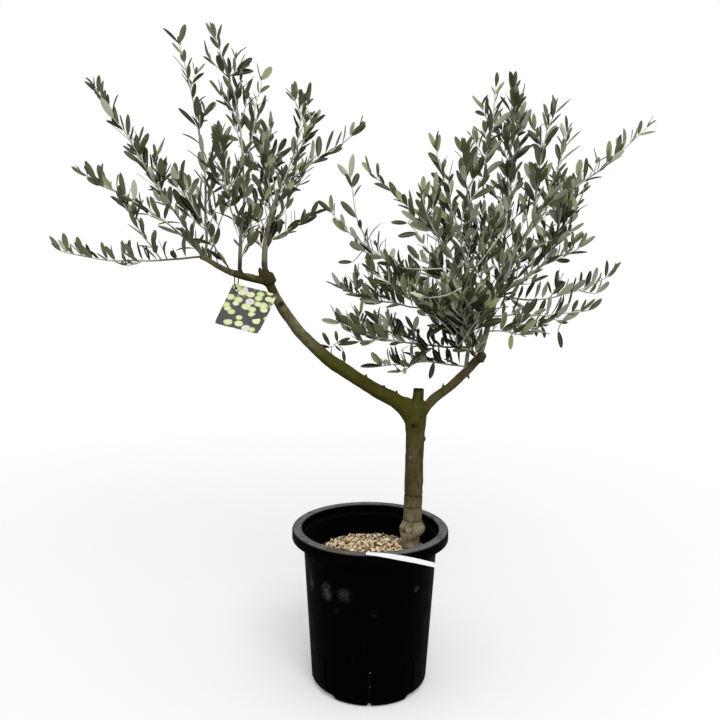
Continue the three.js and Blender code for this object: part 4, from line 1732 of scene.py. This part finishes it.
BOUGH_SPURS = (
    Spur((0.024, 0.027, 0.483), (0.021, 0.026, 0.5005), 0.0036, 0.002),
    Spur((0.043, 0.028, 0.474), (0.0425, 0.026, 0.4925), 0.0036, 0.002),
    Spur((-0.01, 0.02, 0.5), (-0.009, 0.018, 0.5195), 0.004, 0.0022),
    Spur((0.118, 0.024, 0.494), (0.1195, 0.022, 0.5065), 0.003, 0.0014),
    Spur((0.158, 0.022, 0.523), (0.1615, 0.018, 0.511), 0.0034, 0.0018),
    Spur((-0.164, 0.008, 0.664), (-0.172, 0.006, 0.684), 0.0118, 0.0102),
    Spur((-0.178, 0.004, 0.678), (-0.182, 0.002, 0.6925), 0.0048, 0.0028),
    Spur((-0.168, 0.006, 0.668), (-0.212, 0.001, 0.681), 0.0075, 0.0045),
    Spur((0.175, 0.02, 0.542), (0.186, 0.019, 0.556), 0.0092, 0.007),
    Spur((0.0776, 0.03, 0.462), (0.079, 0.03, 0.4934), 0.01, 0.0098, cut=True),
    Spur((0.07, 0.03, 0.452), (0.0555, 0.029, 0.4735), 0.0125, 0.0078),
    Spur((0.08, 0.03, 0.452), (0.0935, 0.029, 0.471), 0.0115, 0.007),
    Spur((0.044, 0.029, 0.4735), (0.067, 0.03, 0.469), 0.0088, 0.0085),
)


# ---- The pot and the soil ----


@dataclass
class PotShell:
    """A moulded slit pot: a tapered wall, a rolled lip with a ledge inside it, and slits round the foot."""

    height: float = 0.266
    rim_radius: float = 0.13
    lip_inner: float = 0.114
    band: float = 0.018
    wall_top: float = 0.1115
    wall_foot: float = 0.0965
    wall: float = 0.0025
    floor: float = 0.0035
    foot_round: float = 0.008
    recess: float = 0.0025
    segments: int = 144
    slit_count: int = 8
    slit_width: float = 0.0045
    slit_height: float = 0.064
    slit_reach: float = 0.062
    slit_flare: float = 0.0022
    foot_reach: float = 0.0595
    foot_lift: float = 0.0055
    foot_gaps: tuple[tuple[float, float], ...] = ((-170.5, -125.5), (-50.5, -5.5), (69.5, 114.5))
    sharp_degrees: float = 32

    def outer(self, height: float) -> float:
        """The wall's outer radius at a height."""
        return self.wall_foot + (self.wall_top - self.wall_foot) * height / (self.height - self.band)

    def arc(self, centre: tuple[float, float], radius: float, start: float, end: float, steps: int) -> list:
        """Points on a rounded corner round a centre, from one angle in degrees to another."""
        angles = np.radians(np.linspace(start, end, steps))
        return [(centre[0] + radius * math.cos(a), centre[1] + radius * math.sin(a)) for a in angles]

    def profile(self) -> list[tuple[float, float]]:
        """The section from the middle of the underside round to the middle of the floor."""
        foot, rim, lip = self.foot_round, self.rim_radius, self.lip_inner
        top, band = self.height, self.height - self.band
        ridge, inside = band - 0.0155, self.outer(band) - self.wall
        points = [(0.0, self.recess), (0.056, self.recess), (0.06, 0.0)]
        points += self.arc((self.outer(foot) - foot, foot), foot, -90, 0, 7)
        points += [(self.outer(z), z) for z in np.linspace(0.03, band - 0.022, 9)]
        points += self.arc((self.outer(ridge), ridge), 0.0011, -80, 80, 5)
        points += [(self.outer(band - 0.004), band - 0.004), (self.outer(band) + 0.0004, band - 0.001)]
        points += self.arc((rim - 0.0016, band + 0.0016), 0.0016, -90, 0, 4)
        points += [(rim, band + 0.006)]
        points += self.arc((rim - 0.0052, top - 0.0052), 0.0052, 0, 90, 8)
        points += [(rim - 0.0075, top), (rim - 0.0082, top - 0.0006), (lip + 0.0034, top - 0.0007)]
        points += self.arc((lip + 0.0024, top - 0.0031), 0.0024, 90, 180, 6)
        points += [(lip, band + 0.006), (lip - 0.0006, band + 0.003)]
        points += [(inside, band - 0.001), (inside, band - 0.006)]
        points += [(self.outer(z) - self.wall, z) for z in np.linspace(band - 0.02, foot, 8)]
        return points + [(self.outer(0) - foot + self.floor, self.floor), (0.0, self.floor)]

    def lathe(self) -> Piece:
        """Turns the section round the pot's axis, and lifts the foot in its gaps."""
        profile = np.array(self.profile())
        radius, height = profile[1:-1, :1], profile[1:-1, 1:]
        round_it = circle(self.segments)
        degrees = np.degrees(TURN * np.arange(self.segments) / self.segments + math.pi) % 360 - 180
        raised = np.any([(degrees > low) & (degrees < high) for low, high in self.foot_gaps], axis=0)
        sunk = np.clip(1 - height / (2 * self.foot_round), 0, 1) * (radius > self.foot_reach)
        heights = height + sunk * raised * self.foot_lift
        wall = np.concatenate([radius[:, None] * round_it, heights[..., None]], -1).reshape(-1, 3)
        data = MeshData()
        ends = [[0, 0, profile[0, 1]], [0, 0, profile[-1, 1]]]
        data.add(np.concatenate([wall, ends]), closed_faces(len(radius), self.segments))
        return data.build("pot_shell", [PotFinish().material()])

    def cutters(self) -> Piece:
        """One arched blade for each slit, widened where it meets the foot."""
        half = self.slit_width / 2
        flare, arch = half + self.slit_flare, self.slit_height - half
        right = [(flare, -0.003), (flare - 0.001, 0.0015), (half + 0.001, 0.0042), (half, 0.007)]
        right += [(half * math.cos(a), arch + half * math.sin(a)) for a in (0, 0.6, 1.2)]
        outline = np.array([(-flare, -0.003), *right, *((-x, z) for x, z in right[:0:-1])])
        count = len(outline)
        faces = [list(range(count))[::-1], list(range(count, 2 * count)), *bands(2, count).tolist()]
        data = MeshData()
        for out in circle(self.slit_count):
            out, side = np.array([*out, 0.0]), np.array([-out[1], out[0], 0.0])
            blade = side * outline[:, :1] + UP * outline[:, 1:]
            data.add(np.concatenate([out * self.slit_reach + blade, out * self.rim_radius + blade]), faces)
        return data.build("slit_cutters", [], smooth=False)

    def build(self) -> None:
        """Makes the pot."""
        piece, cutters = self.lathe(), self.cutters()
        modify(piece, "BOOLEAN", operation="DIFFERENCE", solver="EXACT", object=cutters)
        bpy.data.objects.remove(cutters)
        piece.data.set_sharp_from_angle(angle=math.radians(self.sharp_degrees))
        points = vertex_places(piece)
        reach = np.hypot(points[:, 0], points[:, 1])
        top = smooth_step(self.height - 0.0026, self.height - 0.0004, points[:, 2])
        outward = smooth_step(self.lip_inner - 0.002, self.lip_inner + 0.006, reach)
        write_mask(piece, "lip", top)
        write_mask(piece, "dust", 0.8 * top * outward)
        write_mask(piece, "wall", 1 - smooth_step(0.2, 0.24, points[:, 2]))
        finish_piece(piece, ("pot",))


class Chip(Enum):
    """The colours of the soil's granules."""

    CREAM = PlainFinish("granule, cream", (0.98, 0.88, 0.68), 0.9)
    TAN = PlainFinish("granule, tan", (0.88, 0.68, 0.42), 0.92)
    BROWN = PlainFinish("granule, brown", (0.42, 0.28, 0.14), 0.93)
    UMBER = PlainFinish("granule, umber", (0.1, 0.058, 0.03), 0.93)


@dataclass
class SoilBed:
    """Potting mix: an uneven bed, and granules of pumice and bark lying on it."""

    top: float = 0.2155
    radius: float = 0.1068
    skirt: tuple[tuple[float, float], ...] = ((0.105, 0.19), (0.0935, 0.0085), (0.0912, 0.0042))
    trunk_foot: tuple[float, float] = (0.072, 0.03)
    trunk_room: float = 0.0175
    caught: tuple[Place, ...] = ((0.001, -0.099, 0.06), (0.0006, -0.0978, 0.0352))
    large: int = 1500
    small: int = 3000
    shares: tuple[float, ...] = (0.24, 0.33, 0.27, 0.16)
    rings: int = 44
    segments: int = 120
    seed: int = 77

    def level(self, points: Array) -> Array:
        """The bed's height at places given as X and Y."""
        flat = np.column_stack([points, np.zeros(len(points))])
        reach = norm(points, axis=1)
        near = norm(points - np.array(self.trunk_foot), axis=1)
        swell = 0.0028 * value_noise(flat, 0.045, 21) + 0.0015 * value_noise(flat, 0.014, 22)
        heaped = 0.003 * bell(near, 0.03) - 0.006 * smooth_step(-0.03, -0.1, points[:, 0])
        return self.top + swell + heaped - 0.003 * smooth_step(0.09, self.radius, reach)

    def bed(self) -> Piece:
        """Makes the bed, closed beneath."""
        ring = circle(self.segments)
        reach = self.radius * np.linspace(1 / self.rings, 1, self.rings)
        flat = (reach[:, None, None] * ring).reshape(-1, 2)
        fine = 0.0012 * value_noise(np.column_stack([flat, flat[:, :1]]), 0.0045, 23)
        upper = np.column_stack([flat, self.level(flat) + fine])
        skirt = [np.column_stack([reach * ring, np.full(self.segments, z)]) for reach, z in self.skirt]
        middle = [[0, 0, self.level(np.zeros((1, 2)))[0]], [0, 0, self.skirt[-1][1]]]
        faces = closed_faces(self.rings + len(self.skirt), self.segments, turned=True)
        data = MeshData()
        data.add(np.concatenate([upper, *skirt, middle]), faces)
        piece = data.build("soil_bed", [EarthFinish().material()])
        # The mask of painted shade inside the pot, from the bed's top downward.
        write_mask(piece, "shade_below_top", smooth_step(0.0, 0.01, self.top - 0.004 - vertex_places(piece)[:, 2]))
        return piece

    def blob(self) -> tuple[Array, Array]:
        """The vertices and faces of a rounded granule before it is knocked out of shape."""
        shape = bmesh.new()
        bmesh.ops.create_icosphere(shape, subdivisions=1, radius=1.0)
        shape.verts.index_update()
        points = np.array([vertex.co for vertex in shape.verts])
        faces = np.array([[vertex.index for vertex in face.verts] for face in shape.faces])
        shape.free()
        return points, faces

    def granules(self, name: str, count: int, sizes: tuple[float, float], caught: tuple = ()) -> None:
        """Scatters granules over the bed.

        Args:
            name: The piece's name.
            count: How many.
            sizes: The least and the greatest radius.
            caught: Where the first few sit instead, in a slit of the pot.
        """
        rng = np.random.default_rng(self.seed + count)
        points, faces = self.blob()
        turn = rng.uniform(0, TURN, count)
        reach = (self.radius - sizes[1]) * np.sqrt(rng.random(count))
        flat = np.column_stack([reach * np.cos(turn), reach * np.sin(turn)])
        flat = flat[norm(flat - np.array(self.trunk_foot), axis=1) > self.trunk_room]
        count, held = len(flat), len(caught)
        size = rng.uniform(*sizes, count) * rng.uniform(0.7, 1.0, count)
        shape = rng.uniform(0.4, 1.35, (count, 1, 3)) * rng.uniform(0.75, 1.15, (count, len(points), 1))
        bodies = points[None] * shape * size[:, None, None]
        spins = [np.array(Euler(rng.uniform(0, 6.28, 3)).to_matrix()) for _ in range(count)]
        rest = np.column_stack([flat, self.level(flat) + size * rng.uniform(-0.1, 0.55, count)])
        rest[:held] = np.reshape(caught, (held, 3))
        bodies = np.einsum("nij,nvj->nvi", np.array(spins), bodies) + rest[:, None]
        tints = rng.choice(len(Chip), count, p=self.shares)
        tints[:held] = 0
        data = MeshData()
        data.add(bodies, repeated(faces, count, len(points)), np.repeat(tints, len(faces)))
        finish_piece(data.build(name, [tint_material(tint) for tint in Chip], smooth=False), ())

    def build(self) -> None:
        """Makes the soil."""
        finish_piece(self.bed(), ("soil",))
        self.granules("soil_granules", self.large, (0.002, 0.0041))
        self.granules("soil_grit", self.small, (0.0009, 0.0018), self.caught)


# ---- The tag and the strip ----


@dataclass
class HangTag:
    """A printed card with rounded corners, hanging from a thread, with one corner curled."""

    across: Place = (0.068, -0.028, -0.014)
    down: Place = (-0.026, -0.03, -0.062)
    thickness: float = 0.0006
    corner: float = 0.004
    hole: float = 0.0032
    hole_inset: float = 0.0085
    widened: float = 0.007
    aside: float = 0.005
    rings: int = 12
    segments: int = 72
    curl: float = 0.006
    sag: float = 0.0016
    thread_radius: float = 0.0009
    end_radius: float = 0.00045
    paper: PlainFinish = PlainFinish("card back", (0.62, 0.61, 0.56), 0.7)
    cotton: PlainFinish = PlainFinish("thread, black", (0.02, 0.02, 0.018), 0.8)

    def outline(self, size: Array, hole: Array) -> Array:
        """The card's edge, as seen from its hole.

        Args:
            size: The card's width and height.
            hole: The hole's place on it.

        Returns:
            Points on the edge, one for each direction from the hole.
        """
        turn = TURN * np.arange(self.segments) / self.segments
        corners = np.array([[0, 0], [size[0], 0], size, [0, size[1]]]) - hole
        turn = np.sort(np.concatenate([turn, np.arctan2(corners[:, 1], corners[:, 0]) % TURN]))
        ray = np.stack([np.cos(turn), np.sin(turn)], 1)
        with np.errstate(divide="ignore", invalid="ignore"):
            reach = np.where(ray > 0, (size - hole) / ray, -hole / ray)
        edge = ray * np.nanmin(np.abs(reach), axis=1)[:, None] + hole
        inner = np.clip(edge, self.corner, size - self.corner)
        off = edge - inner
        away = norm(off, axis=1, keepdims=True)
        return np.where(away > self.corner, inner + off / np.maximum(away, 1e-9) * self.corner, edge)

    def card(self) -> Piece:
        """Makes the card."""
        across, down = np.array(self.across), np.array(self.down)
        size = np.array([norm(across) + self.widened, norm(down)])
        across, down = unit(across), unit(down)
        front = unit(np.cross(down, across))
        places = np.array([v.co for v in frame["nodes"]["tag_card"].data.vertices])
        centre = (places.min(0) + places.max(0)) / 2
        origin = centre - across * ((size[0] + self.widened) / 2 - self.aside) - down * size[1] / 2
        hole = np.array([self.hole_inset + self.widened - self.aside, self.hole_inset])
        edge = self.outline(size, hole)
        ring = hole + self.hole * unit(edge - hole)
        shares = np.linspace(0, 1, self.rings)[:, None, None]
        flat = (ring[None] * (1 - shares) + edge[None] * shares).reshape(-1, 2)
        u, v = (flat / size).T
        lift = self.curl * np.clip(u + v - 1.25, 0, 1) ** 1.5 + self.sag * np.sin(math.pi * u) * v
        body = origin + flat[:, :1] * across + flat[:, 1:] * down + lift[:, None] * front
        count, around = len(body), len(edge)
        quads = bands(self.rings, around)[:, [0, 3, 2, 1]]
        corner = np.arange(around)
        following = np.roll(corner, -1)
        bore = np.stack([following, following + count, corner + count, corner], 1)
        rim = bore[:, ::-1] + (self.rings - 1) * around
        faces = np.concatenate([quads, quads[:, ::-1] + count, rim, bore])
        slots = np.arange(len(faces)) >= len(quads)
        data = MeshData()
        data.add(np.concatenate([body, body - front * self.thickness]), faces, slots)
        piece = data.build("hang_tag", [PrintFinish().material(), self.paper.material()])
        piece.data.set_sharp_from_angle(angle=math.radians(50))
        place = np.column_stack([u, v, np.zeros(count)])
        stored = piece.data.attributes.new("card", "FLOAT_VECTOR", "POINT")
        stored.data.foreach_set("vector", np.concatenate([place, place]).ravel().astype(np.float32))
        return piece

    def thread(self) -> Piece:
        """Makes the thread: the loop that the card hangs from, with a knot and two cut ends."""
        places = vertex_places(frame["nodes"]["tag_loop"])
        centre = places.mean(0)
        _, _, axes = np.linalg.svd(places - centre, full_matrices=False)
        flat = (places - centre) @ axes.T
        order = np.argsort(np.arctan2(flat[:, 1], flat[:, 0]))
        loop = np.array([chunk.mean(0) for chunk in np.array_split(places[order], 14)])
        closed = np.concatenate([loop, loop[:2]])
        knot = loop[loop[:, 2].argmin()] + 0.002 * UP
        twirl, rise = np.linspace(0, 2.5 * TURN, 40), 0.003 * np.linspace(-0.5, 0.5, 40)
        coil = knot + np.stack([0.0011 * np.cos(twirl), 0.0011 * np.sin(twirl), rise], 1)
        lines = [Stem(closed, np.full(len(closed), self.thread_radius)).resampled(0.0015)]
        lines.append(Stem(coil, np.full(40, self.thread_radius)))
        share = np.linspace(0, 1, 6)
        for lean in (-0.0024, 0.0032):
            end = knot + np.stack([lean * share, -0.002 * share, -0.007 * share**2], 1)
            lines.append(Stem(end, np.full(6, self.end_radius)))
        data = MeshData()
        for line in lines:
            data.add(*tube(line, 8))
        return data.build("tag_thread", [self.cotton.material()])

    def build(self) -> None:
        """Makes the tag and its thread."""
        finish_piece(self.card(), ("tag_card",))
        finish_piece(self.thread(), ("tag_loop",))


@dataclass
class LabelStrip:
    """A blank strip of film across the front of the lip."""

    edge: float = 0.0002
    raised: float = 0.0028
    drawn_back: float = 0.035
    shares: tuple[float, ...] = (0.0, 0.45, 0.8, 1.0)
    widths: tuple[float, ...] = (0.5, 1.0, 0.95, 0.85)

    def build(self) -> None:
        """Makes the strip from its node, rounded and finely divided."""
        shape = bmesh.new()
        shape.from_mesh(frame["nodes"]["label_strip"].data)
        bmesh.ops.remove_doubles(shape, verts=shape.verts, dist=1e-5)
        bmesh.ops.dissolve_limit(shape, angle_limit=math.radians(1), verts=shape.verts, edges=shape.edges)
        mesh = bpy.data.meshes.new("label_film")
        shape.to_mesh(mesh)
        shape.free()
        piece = placed(bpy.data.objects.new("label_film", mesh), [StripFinish().material()])
        points = vertex_places(piece)
        share = (points[:, 0] - points[:, 0].min()) / np.ptp(points[:, 0])
        turn, reach = np.arctan2(points[:, 1], points[:, 0]), np.hypot(points[:, 0], points[:, 1])
        top = np.array([points[np.abs(turn - each) < 0.01, 2].max() for each in turn])
        kept = np.interp(share, self.shares, self.widths)
        level = top - (top - points[:, 2]) * kept + self.raised * (1 + share)
        turn = turn - self.drawn_back * share
        move_vertices(piece, np.column_stack([reach * np.cos(turn), reach * np.sin(turn), level]))
        modify(piece, "BEVEL", width=self.edge, segments=2)
        finish_piece(piece, ("label_strip",))


# ---- Studio ----


@dataclass
class Studio:
    """The floor, the light and the camera."""

    camera_place: Place = (-0.0195, -1.209, 0.697)
    pitch: float = 7.2
    roll: float = 0.5
    lens: float = 37.5
    sensor: float = 36.0
    clip: float = 0.05
    floor_size: float = 12.0
    low_light: float = 0.16
    high_light: float = 1.35
    front_share: float = 1.0
    back_share: float = 0.45
    lamp_place: Place = (0.45, -1.6, 2.2)
    lamp_target: Place = (0.0, 0.0, 0.5)
    lamp_power: float = 22.0
    lamp_size: float = 1.1
    lamp_colour: Place = (1.0, 0.985, 0.96)

    def floor(self) -> None:
        """Lays the floor."""
        half = self.floor_size / 2
        data = MeshData()
        data.add([[-half, -half, 0], [half, -half, 0], [half, half, 0], [-half, half, 0]], [[0, 1, 2, 3]])
        floor = data.build("floor", [FloorFinish().material()])

    def world(self) -> None:
        """Sets soft light from above, and a white ground behind everything."""
        world = bpy.data.worlds.new("studio")
        bpy.context.scene.world = world
        world.use_nodes = True
        world.node_tree.nodes.clear()
        wiring = Wiring(world.node_tree)
        direction = wiring.node("SeparateXYZ", {0: wiring.node("TexCoord").outputs["Generated"]}).outputs
        above = wiring.spread(direction["Z"], -0.1, 0.8, least=self.low_light, most=self.high_light)
        front = wiring.spread(direction["Y"], -0.9, 0.5, least=self.front_share, most=self.back_share)
        around = wiring.node("Background", {0: (1, 1, 1, 1), 1: wiring.times(above, front)}).outputs[0]
        plain = wiring.node("Background", {0: (1, 1, 1, 1), 1: 1.0}).outputs[0]
        seen = wiring.node("LightPath").outputs["Is Camera Ray"]
        light = wiring.node("MixShader", {0: seen, 1: around, 2: plain}).outputs[0]
        wiring.node("OutputWorld", {"Surface": light})

    def lamps(self) -> None:
        """Hangs one large soft lamp overhead, in front and to the right."""
        lamp = bpy.data.lights.new("overhead", "AREA")
        settle(lamp, energy=self.lamp_power, size=self.lamp_size, color=self.lamp_colour)
        holder = bpy.data.objects.new("overhead", lamp)
        holder.location = self.lamp_place
        towards = Vector(self.lamp_target) - holder.location
        holder.rotation_euler = towards.to_track_quat("-Z", "Y").to_euler()
        bpy.context.scene.collection.objects.link(holder)

    def camera(self) -> None:
        """Sets up the camera."""
        lens = bpy.data.cameras.new("camera")
        settle(lens, lens=self.lens, sensor_width=self.sensor, clip_start=self.clip)
        holder = bpy.data.objects.new("camera", lens)
        tilt = Matrix.Rotation(math.radians(90 - self.pitch), 4, "X")
        roll = Matrix.Rotation(math.radians(self.roll), 4, "Z")
        holder.matrix_world = Matrix.Translation(self.camera_place) @ tilt @ roll
        bpy.context.scene.collection.objects.link(holder)
        bpy.context.scene.camera = holder

    def build(self) -> None:
        """Sets up the whole studio."""
        bpy.context.scene.view_settings.view_transform = "Standard"
        self.floor()
        self.world()
        self.lamps()
        self.camera()


def main() -> None:
    """Builds every piece in order, and the studio round them."""
    Studio().build()
    skeleton = Skeleton()
    BarkSkin("trunk_and_boughs", "bark", STOUT, BOUGH_SPURS, TRUNK_MARKS).build(skeleton)
    fine = {"voxel": 0.0009, "sides": 14, "root_depth": 0.014}
    BarkSkin("younger_limbs", "young_bark", YOUNGER, (), ARM_MARKS, YOUNG_FINISH, **fine).build(skeleton)
    Crown(skeleton).build()
    PotShell().build()
    SoilBed().build()
    HangTag().build()
    LabelStrip().build()


if __name__ == "__main__":
    main()
